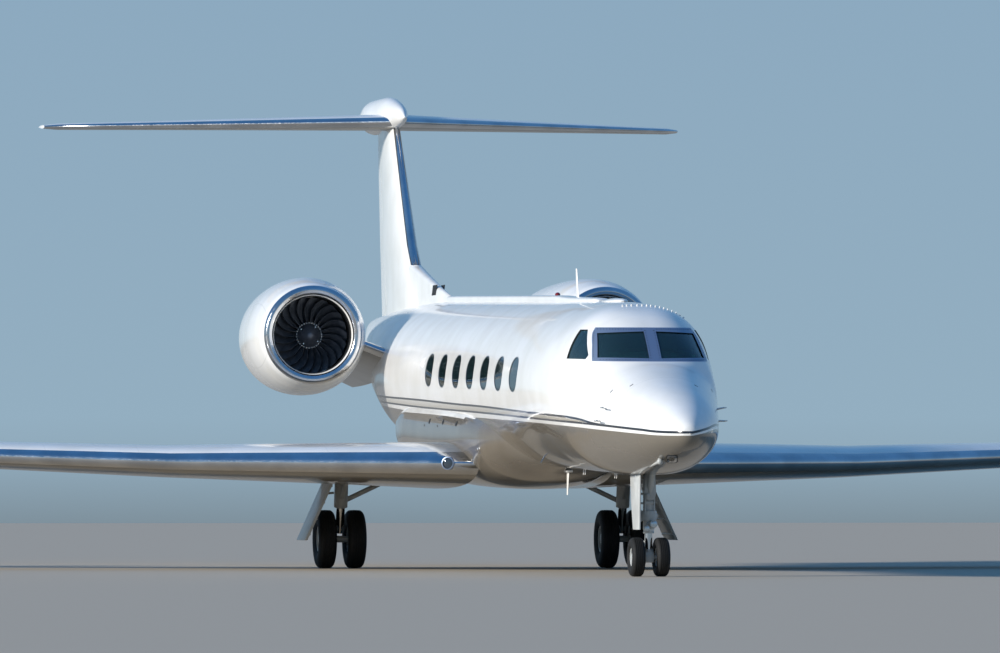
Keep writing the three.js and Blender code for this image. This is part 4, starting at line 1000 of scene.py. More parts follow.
done(blade("crown_blade_antenna", crown_point(8400, 30), crown_point(8520, 470), (190, 90), 34), "airframe",
     WHITE)
done(dome("crown_lamp", 0, 10050, leaned(10050, 3868), (38, 60, 34)), "airframe", LAMP_RED)

# Belly fairing
fairing_marks = stations(8600, 19700, 220, FAIRING)
belly = skin("belly_fairing_shell", [section(FAIRING, s) for s in fairing_marks])
cut(belly, body_solid("tool", 8000, 20400, -0.3, step=220))


# faces low on the fairing take the belly grey, darkened by painted shade
faces_where(belly, 1, lambda c, n: c.z < leaned(c.y * 1000 + HALF_LENGTH, 2060) / 1000)
done(belly, "airframe", WHITE, BELLY_PAINT_AND_SHADE, stands_for=["belly_fairing"], form=FAIRING)

# Wings
def half_of(obj, side):
    """A wing built to port, turned over for the starboard side."""
    if side > 0:
        return obj
    twin = mirrored(obj, obj.name + "_twin")
    bpy.data.objects.remove(obj)
    return twin


def push_plan(corners, low, high):
    """An outline in plan, (x, station), pushed up between two heights."""
    return plate([at(x, s, low) for x, s in corners], (0, 0, (high - low) / 1000), "cutter")


def hinged(body, table, a, b, camber, reach, gap, low):
    """Parts a trailing surface from a wing along the hinge line from a to b."""
    length = math.hypot(b[0] - a[0], b[1] - a[1])
    ux, uy = (b[0] - a[0]) / length, (b[1] - a[1]) / length

    def corner(along, aft):
        return (a[0] + ux * along - uy * aft, a[1] + uy * along + ux * aft)

    def region(e, front):
        return push_plan([corner(-e, front), corner(length + e, front), corner(length + e, reach),
                          corner(-e, reach)], 0, 9000)

    piece = copy_of(body, "piece")
    keep(piece, region(0, 0))
    cut(body, region(gap, -gap if low else -2))
    if not low:
        ends = [(x, s, *inside(table, x, s, camber)) for x, s in (corner(0, 0), corner(length, 0))]
        nose = bar(at(*ends[0][:3]), at(*ends[1][:3]), ends[0][3] * 0.985 / 1000, ends[1][3] * 0.985 / 1000,
                   40)
        boolean(piece, nose, "UNION")
        far = [(x, s, *inside(table, x, s, camber)) for x, s in (corner(-gap, 0), corner(length + gap, 0))]
        cut(body, bar(at(*far[0][:3]), at(*far[1][:3]), (far[0][3] + gap) / 1000, (far[1][3] + gap) / 1000,
                      40))
    return piece


def leading(table, reach):
    """Test for faces on the leading edge strip of a wing's table."""
    def test(c, n):
        x = min(max(abs(c.x) * 1000, table[0][0]), table[-1][0])
        row = straight(table, x)
        return (c.y * 1000 + HALF_LENGTH - row[1]) / row[3] < reach
    return test


# Faces that look down; they take the darker underside colour, which is painted shade
def under(level):
    return lambda c, n: n.z < -0.2 and c.z < level


wing_marks = [1000, 1700, 2500, 3400, 4300, 5200, 6500, 7750, 9000, 10500, 12000, 13000, 13800]
SPOILER = ((5520, 15900), (8760, 17090), 560, 40)


def spoiler_lid(e, sink):
    """Solid above the wing's skin over the spoiler, with its underside parallel to the skin."""
    a, b, chord, depth = SPOILER
    length = math.hypot(b[0] - a[0], b[1] - a[1])
    ux, uy = (b[0] - a[0]) / length, (b[1] - a[1]) / length
    rings = []
    for along in (-e, length * 0.5, length + e):
        ring = []
        for aft in (-e, chord * 0.35, chord * 0.7, chord + e):
            x, s = a[0] + ux * along - uy * aft, a[1] + uy * along + ux * aft
            z, half = inside(WING, x, s, 0.014)
            ring.append((x, s, z + half))
        rings.append([at(x, s, z - depth - sink) for x, s, z in ring] + [at(x, s, z + 200)
                for x, s, z in reversed(ring)])
    return skin("lid", rings)


def wing_half(side, word):
    """One wing with its flaps, aileron and spoiler, modelled to port."""
    wing = skin("wing_skin", [wing_ring(straight(WING, x), 0.014) for x in wing_marks])
    flap_in = hinged(wing, WING, (1720, 16860), (5060, 16470), 0.014, 1500, 10, True)
    flap_out = hinged(wing, WING, (5330, 16480), (8930, 17800), 0.014, 1500, 10, True)
    aileron = hinged(wing, WING, (9320, 17990), (12700, 19160), 0.014, 1200, 10, False)
    spoiler = copy_of(wing, "spoiler")
    keep(spoiler, spoiler_lid(0, 0))
    cut(wing, spoiler_lid(14, 6))
    for obj, name, body in ((wing, "wing", "airframe"), (flap_in, "flap_inner", None),
                            (flap_out, "flap_outer", None),
                            (aileron, "aileron", None), (spoiler, "spoiler", None)):
        piece = half_of(obj, side)
        if name == "wing":
            cut(piece, body_solid("tool", 9800, 19700, -0.4, step=220), copy_of(belly, "tool2"))
        piece = new_name(piece, name + "_" + word + "_skin")
        # faces that look down get the darker grey: painted shade
        faces_where(piece, 2, under(9))
        faces_where(piece, 1, leading(WING, 0.036))
        done(piece, body or name + "_" + word + "_body", WHITE, POLISHED, UNDERSIDE_SHADE,
             stands_for=[name + "_" + word], angle=38)


for side, word in SIDES:
    wing_half(side, word)

for side, word in SIDES:
    rings = []
    for x, s, z, chord, ratio, cant in WINGLET:
        lean_in, lean_up = math.sin(math.radians(cant)), math.cos(math.radians(cant))
        rings.append([at((x - v * lean_in) * side, s + u, z + v * lean_up) for u, v in foil(chord, ratio, 0)])
    winglet = skin("winglet_%s_skin" % word, rings)

    def sharp_front(c, n):
        z = min(max(c.z * 1000, 1920), 3330)
        row = straight([(r[2], *r) for r in WINGLET], z)
        return (c.y * 1000 + HALF_LENGTH - row[2]) / row[4] < 0.05

    faces_where(winglet, 1, sharp_front)
    done(winglet, "airframe", WHITE, POLISHED, stands_for=["winglet_" + word], angle=38)

# Tail
def fin_ring(row):
    z, s, chord, ratio = row
    return [at(v, s + u, z) for u, v in foil(chord, ratio, 0)]


fin = skin("fin_skin", [fin_ring(straight(FIN, z)) for z in (3990, 4350, 4700, 5150, 5650, 6150, 6650, 7150)])
rudder_line = ((25520, 4230), (26320, 6960))
span = math.hypot(rudder_line[1][0] - rudder_line[0][0], rudder_line[1][1] - rudder_line[0][1])
us, uz = (rudder_line[1][0] - rudder_line[0][0]) / span, (rudder_line[1][1] - rudder_line[0][1]) / span


def rudder_place(along, aft):
    return (rudder_line[0][0] + us * along + uz * aft, rudder_line[0][1] + uz * along - us * aft)


def rudder_prism(e, front):
    shape = [rudder_place(-e, front), rudder_place(span + e, front), rudder_place(span + e, 2200),
             rudder_place(-e, 2200)]
    return plate([at(-600, s, z) for s, z in shape], (1.2, 0, 0), "cutter")


def fin_half(s, z):
    row = straight(FIN, z)
    share = min(max((s - row[1]) / row[2], 0.001), 0.999)
    return foil(row[2], row[3], 0, (share, 1.0))[1][1]


rudder = copy_of(fin, "rudder_skin")
keep(rudder, rudder_prism(0, 0))
cut(fin, rudder_prism(10, -2))
low_end, high_end = rudder_place(0, 0), rudder_place(span, 0)
r0, r1 = fin_half(*low_end), fin_half(*high_end)
boolean(rudder, bar(at(0, *low_end), at(0, *high_end), r0 * 0.97 / 1000, r1 * 0.97 / 1000, 40), "UNION")
below_end, above_end = rudder_place(-10, 0), rudder_place(span + 10, 0)
cut(fin, bar(at(0, *below_end), at(0, *above_end), (r0 + 10) / 1000, (r1 + 10) / 1000, 40))


def fin_front(c, n):
    z = min(max(c.z * 1000, 3990), 7150)
    row = straight(FIN, z)
    return z > 4650 and (c.y * 1000 + HALF_LENGTH - row[1]) / row[2] < 0.035


faces_where(fin, 1, fin_front)
DORSAL = [(19050, 20, 60), (20400, 60, 240), (21600, 80, 420), (23000, 110, 640)]
rings = []
for k in range(13):
    s = 19050 + (23000 - 19050) * k / 12
    _, w, h = straight(DORSAL, s)
    top = leaned(s, 3740) + h
    rings.append([at(-w, s, 3900), at(-w, s, top - 70)] + [
        at(-w * math.cos(math.pi * i / 8), s, top - 70 + 70 * math.sin(math.pi * i / 8) ** 0.8)
        for i in range(1, 8)]
        + [at(w, s, top - 70), at(w, s, 3900)])
dorsal = skin("dorsal_fillet", rings)
boolean(fin, dorsal, "UNION")
done(fin, "airframe", WHITE, POLISHED, stands_for=["fin"], angle=38)
done(rudder, "rudder_body", WHITE, stands_for=["rudder"], angle=38)

bullet_marks = [24080, 24110, 24160, 24240, 24330, 24400, 24550, 24750, 25000, 25350, 25700, 26400, 27200,
                27600, 28000, 28200, 28400, 28600, 28780]
bullet = skin("tail_bullet_skin", [section(BULLET, s, 0, 64, lean=False) for s in bullet_marks])
done(bullet, "airframe", WHITE, stands_for=["tail_bullet"], angle=50)

tail_marks = [0, 260, 900, 1800, 2700, 3600, 4500, 5150, 5360]
half_tail = skin("half_tail", [wing_ring(straight(TAILPLANE, x)) for x in tail_marks])
elevator = hinged(half_tail, TAILPLANE, (560, 26480), (5020, 28720), 0, 1600, 10, False)
cut(elevator, block(at(-7000, 20000, 5000), at(245, 32000, 9000)))
other_elevator = mirrored(elevator, "other")
tailplane = join("tailplane_skin", half_tail, mirrored(half_tail, "other_half"))
# faces that look down get the darker grey: painted shade
faces_where(tailplane, 2, under(9))
faces_where(tailplane, 1, leading(TAILPLANE, 0.056))
done(tailplane, "airframe", WHITE, POLISHED, UNDERSIDE_SHADE, stands_for=["tailplane"], angle=38)
for obj, word in ((elevator, "port"), (other_elevator, "starboard")):
    new_name(obj, "elevator_%s_skin" % word)
    # faces that look down get the darker grey: painted shade
    faces_where(obj, 1, under(9))
    done(obj, "elevator_%s_body" % word, WHITE, UNDERSIDE_SHADE, stands_for=["elevator_" + word], angle=38)

# Engines
def rounded(profile, steps, sharp=()):
    """A smooth curve through the points of an open profile; the sharp ones stay corners."""
    out = []
    for k in range(len(profile) - 1):
        a, b = Vector(profile[k]), Vector(profile[k + 1])
        before = a * 2 - b if k == 0 or k in sharp else Vector(profile[k - 1])
        after = b * 2 - a if k + 2 >= len(profile) or k + 1 in sharp else Vector(profile[k + 2])
        for i in range(steps):
            t = i / steps
            out.append(tuple(0.5 * (2 * a + (b - before) * t + (2 * before - 5 * a + 4 * b - after) * t * t
                                    + (3 * a - before - 3 * b + after) * t ** 3)))
    return out + [tuple(profile[-1])]


LIP = [(602, 400), (590, 250), (603, 110), (632, 34), (668, 6), (700, 0), (738, 22), (768, 80), (804, 200),
       (840, 400)]
COWL_OUT = [(840.3, 400.3), (872, 600), (896, 850), (912, 1120), (920, 1400), (915, 2100), (878, 3000),
            (806, 3700)]
COWL_IN = [(760, 3700), (740, 3000), (700, 1600), (640, 1200), (613, 1080), (613, 600), (602.3, 400.3)]
NOZZLE = [(806, 3700.3), (752, 4030), (700, 4350), (640, 4650), (590, 4900), (572, 4900), (625, 4620),
          (670, 4300), (760, 3700.3)]
CORE = [(0.5, 850), (70, 850), (330, 852), (420, 1100), (470, 1800), (455, 2800), (430, 3400), (330, 4200),
        (210, 4420), (0.5, 4420)]
SPINNER = [(0.5, 480), (30, 484), (60, 505), (105, 548), (140, 585), (190, 660), (205, 720), (207, 810),
           (60, 812), (60, 848), (0.5, 848)]
BLADES = 22


def fan_blade(centre):
    """One fan blade: a twisted, swept sheet given thickness, its root in the spinner."""
    spans, chords = 9, 6
    deselect()
    bpy.ops.mesh.primitive_grid_add(x_subdivisions=chords, y_subdivisions=spans, size=1)
    obj = new("blade")
    for i, v in enumerate(obj.data.vertices):
        r = 192 + (593 - 192) * (i // (chords + 1)) / spans
        u = (i % (chords + 1)) / chords - 0.5
        share = (r - 192) / 401
        stagger = math.radians(22 + 40 * share)
        chord = 175 + 75 * math.sin(math.pi * share * 0.8)
        sweep = math.radians(-9 * share + 22 * share * share)
        turn = u * chord * math.sin(stagger) / r + sweep
        d = 730 + u * chord * math.cos(stagger) * (0.95 - 0.2 * share)
        v.co = centre + Vector((r * math.sin(turn), d, r * math.cos(turn))) / 1000
    thick = obj.modifiers.new("thickness", "SOLIDIFY")
    thick.thickness = 0.007
    thick.offset = 0
    pick(obj)
    bpy.ops.object.modifier_apply(modifier=thick.name)
    return tidy(obj)


def spread(obj, count, centre, axis, name):
    """Copies of a piece, evenly turned about an axis through a point."""
    copies = [obj]
    for k in range(1, count):
        copies.append(moved_by(copy_of(obj, "copy"), centre, 2 * math.pi * k / count, axis))
    return join(name, *copies)


TOE = 2.6


def toed(obj, side):
    """Turns a piece of an engine with its axis, which points a little outwards ahead."""
    return moved_by(obj, at(ENGINE_X * side, ENGINE_LIP, ENGINE_Z), math.radians(TOE * side), "Z")


for side, word in SIDES:
    axis = at(ENGINE_X * side, ENGINE_LIP, ENGINE_Z)

    def radius_at(p):
        return math.hypot(p.x - axis.x, p.z - axis.z) * 1000

    def aft_of(p):
        return (p.y - axis.y) * 1000

    lip = turned("inlet_lip_%s_shell" % word, rounded(LIP, 6), axis, "Y", 96)
    faces_where(lip, 1, lambda c, n: radius_at(c) > 764 and aft_of(c) > 70)
    faces_where(lip, 1, lambda c, n: radius_at(c) < 624 and 50 < aft_of(c) <= 112)
    # deeper in, the intake's inner wall takes the black: painted shade of the throat
    faces_where(lip, 2, lambda c, n: radius_at(c) < 612 and aft_of(c) > 112)
    done(toed(lip, side), "airframe", POLISHED, WHITE, BLACK_AND_HOLLOW_SHADE, stands_for=["inlet_lip_" + word], angle=45)

    seam = [(918.8, 1500), (911, 1502), (911, 1512), (918.8, 1514)]
    outer = rounded(COWL_OUT[:5], 4) + seam + rounded([(918.5, 1530)] + COWL_OUT[5:], 4)
    cowl = turned("cowl_%s_shell" % word, outer + rounded(COWL_IN, 3), axis, "Y", 96)
    # the cowl's inner faces take the black: painted shade of the bypass duct
    faces_where(cowl, 1, lambda c, n: n.dot(Vector((c.x - axis.x, 0, c.z - axis.z))) < 0 and aft_of(c) < 3690)
    done(toed(cowl, side), "airframe", WHITE, BLACK_AND_HOLLOW_SHADE, stands_for=["cowl_" + word], angle=40)
    nozzle = turned("nozzle_%s_shell" % word, rounded(NOZZLE, 4, sharp=(4, 5)), axis, "Y", 96)
    done(toed(nozzle, side), "airframe", HOT_METAL, stands_for=["nozzle_" + word], angle=40)
    core = turned("engine_core_%s_case" % word, rounded(CORE, 3, sharp=(1, 2, 8)), axis, "Y", 64)
    done(toed(core, side), "airframe", DARK_CASE, stands_for=["engine_core_" + word], angle=40)

    spinner = turned("spinner", rounded(SPINNER[:8], 3) + SPINNER[8:], axis, "Y", 48)
    blades = spread(fan_blade(axis), BLADES, axis, "Y", "blades")
    ring = spread(block(axis + Vector((-0.012, 0.655, 0.186)), axis + Vector((0.012, 0.672, 0.204)), 0.002),
                  30, axis, "Y", "hub_slots")
    bolts = spread(bar(axis + Vector((0.094, 0.60, 0.128)), axis + Vector((0.094, 0.65, 0.128)), 0.010), 4,
                   axis, "Y", "bolts")
    fan = join("fan_%s_rotor" % word, spinner, blades)
    done(toed(fan, side), "fan_%s_body" % word, FAN_METAL, stands_for=["fan_" + word], angle=40)
    done(toed(new_name(ring, "fan_%s_hub_slots" % word), side), "fan_%s_body" % word, GEAR)
    done(toed(new_name(bolts, "fan_%s_spinner_bolts" % word), side), "fan_%s_body" % word, CHROME)

    rings = [wing_ring(straight(PYLON, x)) for x in (900, 1150, 1400, 1650)]
    if side < 0:
        rings = [[Vector((-p.x, p.y, p.z)) for p in ring_points] for ring_points in rings]
    pylon = skin("pylon_%s_skin" % word, rings)
    cut(pylon, toed(turned("tool", [(0.5, 395)] + COWL_OUT + [(700, 4350), (590, 4900), (0.5, 4900)], axis,
                           "Y", 96), side))
    # faces that look down get the darker grey: painted shade
    faces_where(pylon, 2, under(9))
    faces_where(pylon, 1, leading(PYLON, 0.035))
    done(pylon, "airframe", WHITE, POLISHED, UNDERSIDE_SHADE, stands_for=["pylon_" + word], angle=38)

# Landing gear
def tyre(name, x, s, z, radius, bore, width, body, node):
    """A tyre with rounded shoulders, a bead and circumferential grooves."""
    w = width / 2
    side_wall = rounded([(bore, -w * 0.72), (bore + 12, -w * 0.80), (radius * 0.62, -w * 0.97),
                         (radius * 0.76, -w),
                         (radius * 0.90, -w * 0.90), (radius * 0.97, -w * 0.70),
                         (radius * 0.992, -w * 0.56)], 3)
    tread = []
    for k in (-1.5, -0.5, 0.5, 1.5):
        middle, half, crown = k * w * 0.27, width * 0.014, radius * (0.998 if abs(k) < 1 else 0.994)
        tread += [(crown, middle - half - 2), (crown - 8, middle - half), (crown - 8, middle + half),
                  (crown, middle + half + 2)]
    tread.insert(8, (radius, 0))
    far_wall = [(r, -d) for r, d in reversed(side_wall)]
    obj = turned(name, side_wall + tread + far_wall, at(x, s, z), "X", 72)
    return done(obj, body, RUBBER, stands_for=[node], angle=30)


def rim(x, s, z, bore, width, outward_side):
    """One wheel: a dished rim turned from a profile, with lightening holes and a bolt circle."""
    w, o = width / 2, outward_side
    # shares of the bore's radius and of half the width, from the hub's back round to its front
    form = ((0.30, -0.5), (0.36, -0.1), (0.80, 0.06), (0.88, -0.56), (1, -0.70), (1, 0.70), (0.90, 0.66),
            (0.84, 0.30), (0.62, 0.22), (0.44, 0.30), (0.40, 0.62), (0.34, 0.68))
    profile = [(24, -w * 0.5 * o), *[(min(bore * r, bore - 1), w * d * o) for r, d in form],
               (24, w * 0.68 * o)]
    dish = turned("rim", profile, at(x, s, z), "X", 48)
    bolt = bar(at(x + o * w * 0.16, s, z + bore * 0.70), at(x + o * w * 0.34, s, z + bore * 0.70),
               bore * 0.000045, sides=6)
    holes = spread(bar(at(x - o * w * 0.6, s, z + bore * 0.53), at(x + o * w * 0.9, s, z + bore * 0.53),
                       bore * 0.000055, sides=12), 8, at(x, s, z), "X", "holes")
    cut(dish, holes)
    return join("rim", dish, spread(bolt, 10, at(x, s, z), "X", "bolts"))


def wheel_pair(name, x, s, radius, bore, width, spacing, axle, body, node):
    parts = []
    for side in (1, -1):
        parts.append(rim(x + side * spacing / 2, s, radius, bore, width, side))
    parts.append(bar(at(x - spacing / 2 - width * 0.36, s, radius),
                     at(x + spacing / 2 + width * 0.36, s, radius), axle / 1000, sides=24, chamfer=0.004))
    return done(join(name, *parts), body, GEAR, stands_for=[node], angle=32)


def scissor(x, front, back, low, high, width, thick):
    """Torque link: a tapered forged arm between a pivot at the leg and a knee behind it."""
    (s0, z0), (s1, z1) = (front, low), (back, high)
    length = math.hypot(s1 - s0, z1 - z0)
    us, uz = (s1 - s0) / length, (z1 - z0) / length
    ps, pz = -uz, us
    rings = []
    for t in (0, 0.5, 1):
        w, h = width * (1 - 0.45 * t) / 2, thick * (1 - 0.25 * t) / 2
        s, z = s0 + (s1 - s0) * t, z0 + (z1 - z0) * t
        rings.append([at(x + a * w, s + b * h * ps, z + b * h * pz)
                      for a, b in ((-1, -1), (1, -1), (1, 1), (-1, 1))])
    return bevel(skin("link", rings), 0.006, 2)


def rods(*rows):
    """Round bars between two ends of (x, station, z): radius in metres, sides, chamfer."""
    return [bar(at(*a), at(*b), radius, sides=sides, chamfer=chamfer)
            for a, b, radius, sides, chamfer in rows]


def nose_gear():
    """The leg with its struts, lamps and front plate, and the piston and fork that steer."""
    s = NOSE_GEAR
    leg = rods(((0, s, 640), (0, s, 1640), 0.078, 40, 0.006), ((0, s, 1450), (0, s, 1700), 0.110, 40, 0.01))
    leg.append(block(at(-244.5, s - 45, 1560), at(244.5, s + 45, 1650), 0.012))
    leg += rods(
        ((0, s, 760), (0, s, 900), 0.108, 40, 0.012), ((0, s, 1180), (0, s, 1215), 0.094, 40, 0.006),
        ((0, s, 1020), (0, s - 400, 1600), 0.032, 24, 0),
        ((0, s - 130, 1215), (0, s - 290, 1440), 0.045, 24, 0.008),
        ((-60, s - 40, 1010), (60, s - 40, 1010), 0.045, 20, 0.006),
        ((-130, s + 30, 830), (130, s + 30, 830), 0.034, 24, 0.005),
        ((62, s - 82, 850), (62, s - 82, 1420), 0.011, 10, 0),
        ((-62, s - 82, 850), (-62, s - 82, 1420), 0.011, 10, 0),
        ((-40, s + 84, 700), (-40, s + 84, 1400), 0.009, 10, 0))
    plate_shape = [(-84, 1130), (-70, 1385), (70, 1385), (84, 1130), (48, 1045), (-48, 1045)]
    front = plate([at(x, s - 118, z) for x, z in plate_shape], (0, 0.012, 0), "front_plate", 0.003)
    cut(front, plate([at(34 * math.cos(a), s - 150, 1225 + 78 * math.sin(a))
                      for a in [math.pi * i / 12 for i in range(24)]], (0, 0.1, 0), "tool"))
    leg.append(front)
    leg += [bar(at(side * 50, s - 112, 1160), at(side * 50, s - 60, 1160), 0.012, sides=12)
            for side in (1, -1)]
    for x, z, r in ((-62, 652, 44), (34, 712, 54)):
        leg.append(bar(at(x, s - 190, z + 6), at(x, s - 96, z), r / 1000, r / 1000 * 0.82, sides=32,
                       chamfer=0.005))
        leg.append(bar(at(x, s - 120, z + 3), at(x * 0.4, s - 60, z + 90), 0.016, sides=12))
        lens = dome("taxi_lamp_lens_%d" % (1 if x < 0 else 2), x, s - 190, z + 6, (r * 0.86, 14, r * 0.86),
                    24)
        done(lens, "airframe", LAMP_CLEAR)
    done(join("nose_leg_casting", *leg), "airframe", GEAR, stands_for=["nose_leg"])
    done(dome("nose_leg_ball_joint", -44, s - 135, 1112, (30, 30, 34), 24), "airframe", GEAR)
    piston = bar(at(0, s, NOSE_WHEEL + 30), at(0, s, 634), 0.050, sides=40)
    done(new_name(piston, "nose_piston_rod"), "nose_steering_body", CHROME)
    fork = [block(at(-66, s - 70, 191.7), at(66, s + 70, 341.7), 0.022),
            bar(at(0, s, 330), at(0, s, 372), 0.066, sides=32, chamfer=0.008),
            bar(at(0, s, 590), at(0, s, 632), 0.074, sides=32, chamfer=0.006),
            scissor(0, s + 46, s + 185, 345, 470, 78, 34), scissor(0, s + 60, s + 185, 610, 470, 78, 34),
            bar(at(-34, s + 185, 470), at(34, s + 185, 470), 0.020, sides=20, chamfer=0.003)]
    cut(fork[0], bar(at(-200, s, NOSE_WHEEL), at(200, s, NOSE_WHEEL), 0.0355, sides=24))
    done(join("nose_piston_fork", *fork), "nose_steering_body", GEAR, stands_for=["nose_piston"])


nose_gear()
for side, word in SIDES:
    tyre("nose_tyre_%s_tread" % word, 172.5 * side, NOSE_GEAR, NOSE_WHEEL, NOSE_WHEEL, 128, 184,
         "nose_wheels_body", "nose_tyre_" + word)
wheel_pair("nose_wheel_rims", 0, NOSE_GEAR, NOSE_WHEEL, 128, 184, 345, 34, "nose_wheels_body", "nose_hubs")

# Leg door: an upright panel on the starboard side, held off the leg by two links
rings = [[at(x, s, z) for x, s in ((outer, 2600), (outer + 22, 2600), (outer + 22, aft), (outer, aft))]
         for z, outer, aft in ((1470, -200, 3330), (1060, -204, 3230), (640, -208, 3070))]
leaf = bevel(skin("nose_leg_door_panel", rings), 0.006, 2)
links = [bar(at(-190, NOSE_GEAR, z), at(-77, NOSE_GEAR, z), 0.014, sides=16) for z in (1330, 1000)]
ribs = [bar(at(-176, 2640, z), at(-176, 3030, z), 0.010, sides=8) for z in (760, 900, 1140, 1260)]
done(join("nose_leg_door_panel", leaf, *links, *ribs), "airframe", GEAR, stands_for=["nose_leg_door"])


def raked(z):
    """Station of the main leg's middle at a height: it leans forward as it rises."""
    return MAIN_GEAR - (z - MAIN_WHEEL) * 200 / 900


for side, word in SIDES:
    x = MAIN_X * side
    foot, top = at(x, MAIN_GEAR, 424), at(x, raked(960), 960)
    blocks = [block(at(x - 78, MAIN_GEAR - 95, 349.5), at(x + 78, MAIN_GEAR + 95, 539.5), 0.03)]
    blocks += rods(
        ((x, raked(930), 930), (x, raked(1440), 1440), 0.105, 40, 0.012),
        ((x, raked(905), 905), (x, raked(965), 965), 0.122, 40, 0.012),
        ((x, raked(1180), 1180), (x, raked(1215), 1215), 0.118, 40, 0.008),
        ((x, raked(545), 530), (x, raked(575), 575), 0.088, 40, 0.008),
        ((x, raked(1000) - 60, 1000), (1420 * side, raked(960) - 260, 1400), 0.038, 24, 0.004),
        ((x, raked(1000) + 60, 1000), (1420 * side, raked(960) + 60, 1360), 0.038, 24, 0.004),
        ((x, raked(1000), 1000), (2150 * side, raked(1000) - 620, 1480), 0.036, 24, 0.004))
    blocks += [scissor(x, MAIN_GEAR + 86, MAIN_GEAR + 250, 520, 690, 120, 44),
               scissor(x, raked(930) + 96, MAIN_GEAR + 250, 900, 690, 120, 44)]
    blocks += rods(
        ((x - 50, MAIN_GEAR + 250, 690), (x + 50, MAIN_GEAR + 250, 690), 0.026, 20, 0.004),
        ((x - 60, raked(700) - 84, 560), (x - 60, raked(1300) - 118, 1330), 0.012, 10, 0),
        ((x + 52, raked(700) - 84, 560), (x + 52, raked(1300) - 118, 1330), 0.009, 10, 0))
    cut(blocks[0], bar(at(x - 300, MAIN_GEAR, MAIN_WHEEL), at(x + 300, MAIN_GEAR, MAIN_WHEEL), 0.0535,
                       sides=24))
    leg = join("main_leg_%s_casting" % word, *blocks)
    cut(leg, block(at(x - 900, 15000, 1500), at(x + 900, 18000, 3000)))
    done(leg, "airframe", GEAR, stands_for=["main_leg_" + word])
    done(join("main_piston_" + word, bar(foot + Vector((0, 0, 0.12)), top, 0.066, sides=40)), "airframe",
         CHROME)
    for place, offset in (("inner", -228), ("outer", 228)):
        tyre("main_tyre_%s_%s_tread" % (place, word), x + side * offset, MAIN_GEAR, MAIN_WHEEL, MAIN_WHEEL,
             204, 279,
             "main_wheels_%s_body" % word, "main_tyre_%s_%s" % (place, word))
    wheel_pair("main_wheel_rims_" + word, x, MAIN_GEAR, MAIN_WHEEL, 204, 279, 456, 52,
               "main_wheels_%s_body" % word, "main_hubs_" + word)
    rings = [[at(side * (c + a), s, z) for a, s in ((0, 15700), (45, 15700), (45, aft), (0, aft))]
             for z, c, aft in ((1420, 2375, 16640), (925, 2602.5, 16600), (430, 2830, 16560))]
    slab = skin("main_door_%s_panel" % word, rings)
    cut(slab, half_of(skin("tool", [wing_ring(straight(WING, q), 0.014) for q in (1000, 5200)]), side))
    bevel(slab, 0.010, 2)
    # the door's outer face takes the pale blue: painted sky-lit shade
    faces_where(slab, 1, lambda c, n: n.x * side > 0.5)
    rib = [bar(at(side * (c - 4), 15760, z), at(side * (c - 4), aft, z), 0.014, sides=10)
           for z, c, aft in ((1250, 2453, 16580), (1000, 2568, 16560), (750, 2683, 16540),
                             (520, 2788, 16500))]
    tie = bar(at(x + side * 118, raked(1150), 1150), at(2505 * side, 16480, 1132), 0.018, sides=16)
    done(join(slab.name, slab, tie, *rib), "airframe", GEAR, DOOR_SKY_SHADE, stands_for=["main_door_" + word])

# Small fittings on the skin
def on_skin_plate(name, centre, along, half_length, half_width, table=BODY):
    """A small oval plate lying on the skin, 2 mm proud."""
    n = outward(table, centre)
    u = (along - n * along.dot(n)).normalized()
    v = n.cross(u)
    base = centre - n * 0.004
    return plate([base + u * half_length * math.cos(a) + v * half_width * math.sin(a)
                  for a in [math.pi * i / 8 for i in range(16)]],
                 n * 0.006, name)


ports = [on_skin_plate("port", side_point(1765, 2637), Vector((0.3, 0.3, -1)), 0.030, 0.009),
         on_skin_plate("port", side_point(2093, 2552), Vector((0.3, 0.5, -1)), 0.032, 0.009),
         on_skin_plate("port", side_point(1593, 2634, 1), Vector((0, 0.3, -1)), 0.030, 0.011),
         on_skin_plate("port", side_point(2290, 2560, 1), Vector((0, 0.3, -1)), 0.024, 0.011)]
done(join("static_ports", *ports), "airframe", BLACK_AND_HOLLOW_SHADE)


def probe(name, s, z, side):
    """A pitot tube: a short swept strut, and a tube with a blunt tip pointing ahead."""
    root = side_point(s, z, side)
    n = on_body(root)
    elbow = root + n * 0.075 + Vector((0, -0.05, 0))
    return join(name, bar(root - n * 0.01, elbow, 0.015, 0.011, 16),
                bar(elbow + Vector((0, 0.03, 0)), elbow - Vector((0, 0.17, 0)), 0.011, 0.007, 16, 0.001))


for side, word in reversed(SIDES):
    for level, s, z in (("upper", 2060, 2316), ("lower", 2240, 2151)):
        done(probe("pitot_%s_%s" % (level, word), s, z, side), "airframe", CHROME)

# Lamp window under the nose, and the rod with a ball end beside it
corners = [at(*place) for place in ((-216, 625, 1650), (-79, 492, 1649), (2, 910, 1545), (-147, 983, 1545))]
middle = sum(corners, Vector()) / 4
facing = (corners[1] - corners[0]).cross(corners[2] - corners[0]).normalized()
facing = facing if facing.z < 0 else -facing
outline = []
for i, c in enumerate(corners):
    for other in (corners[i - 1], corners[(i + 1) % 4]):
        outline.append(c.lerp(other, 0.16))
surround = plate([p - facing * 0.02 for p in outline], facing * 0.026, "nose_lamp_surround", 0.003)
done(surround, "airframe", BLACK_AND_HOLLOW_SHADE)
pane = plate([middle + (p - middle) * 0.84 for p in outline], facing * 0.009, "nose_lamp_window", 0.002)
done(pane, "airframe", LAMP_DARK)
rod_foot, rod_end = at(-267, 2441, 1425), at(-250, 874, 1560)
rod = join("nose_leg_forward_rod", bar(rod_foot, rod_end, 0.019, sides=20),
           dome("ball", -250, 874, 1560, (42, 42, 42), 24),
           bar(rod_end, rod_end + Vector((0, 0.06, 0.07)), 0.024, sides=16))
done(rod, "airframe", GEAR)

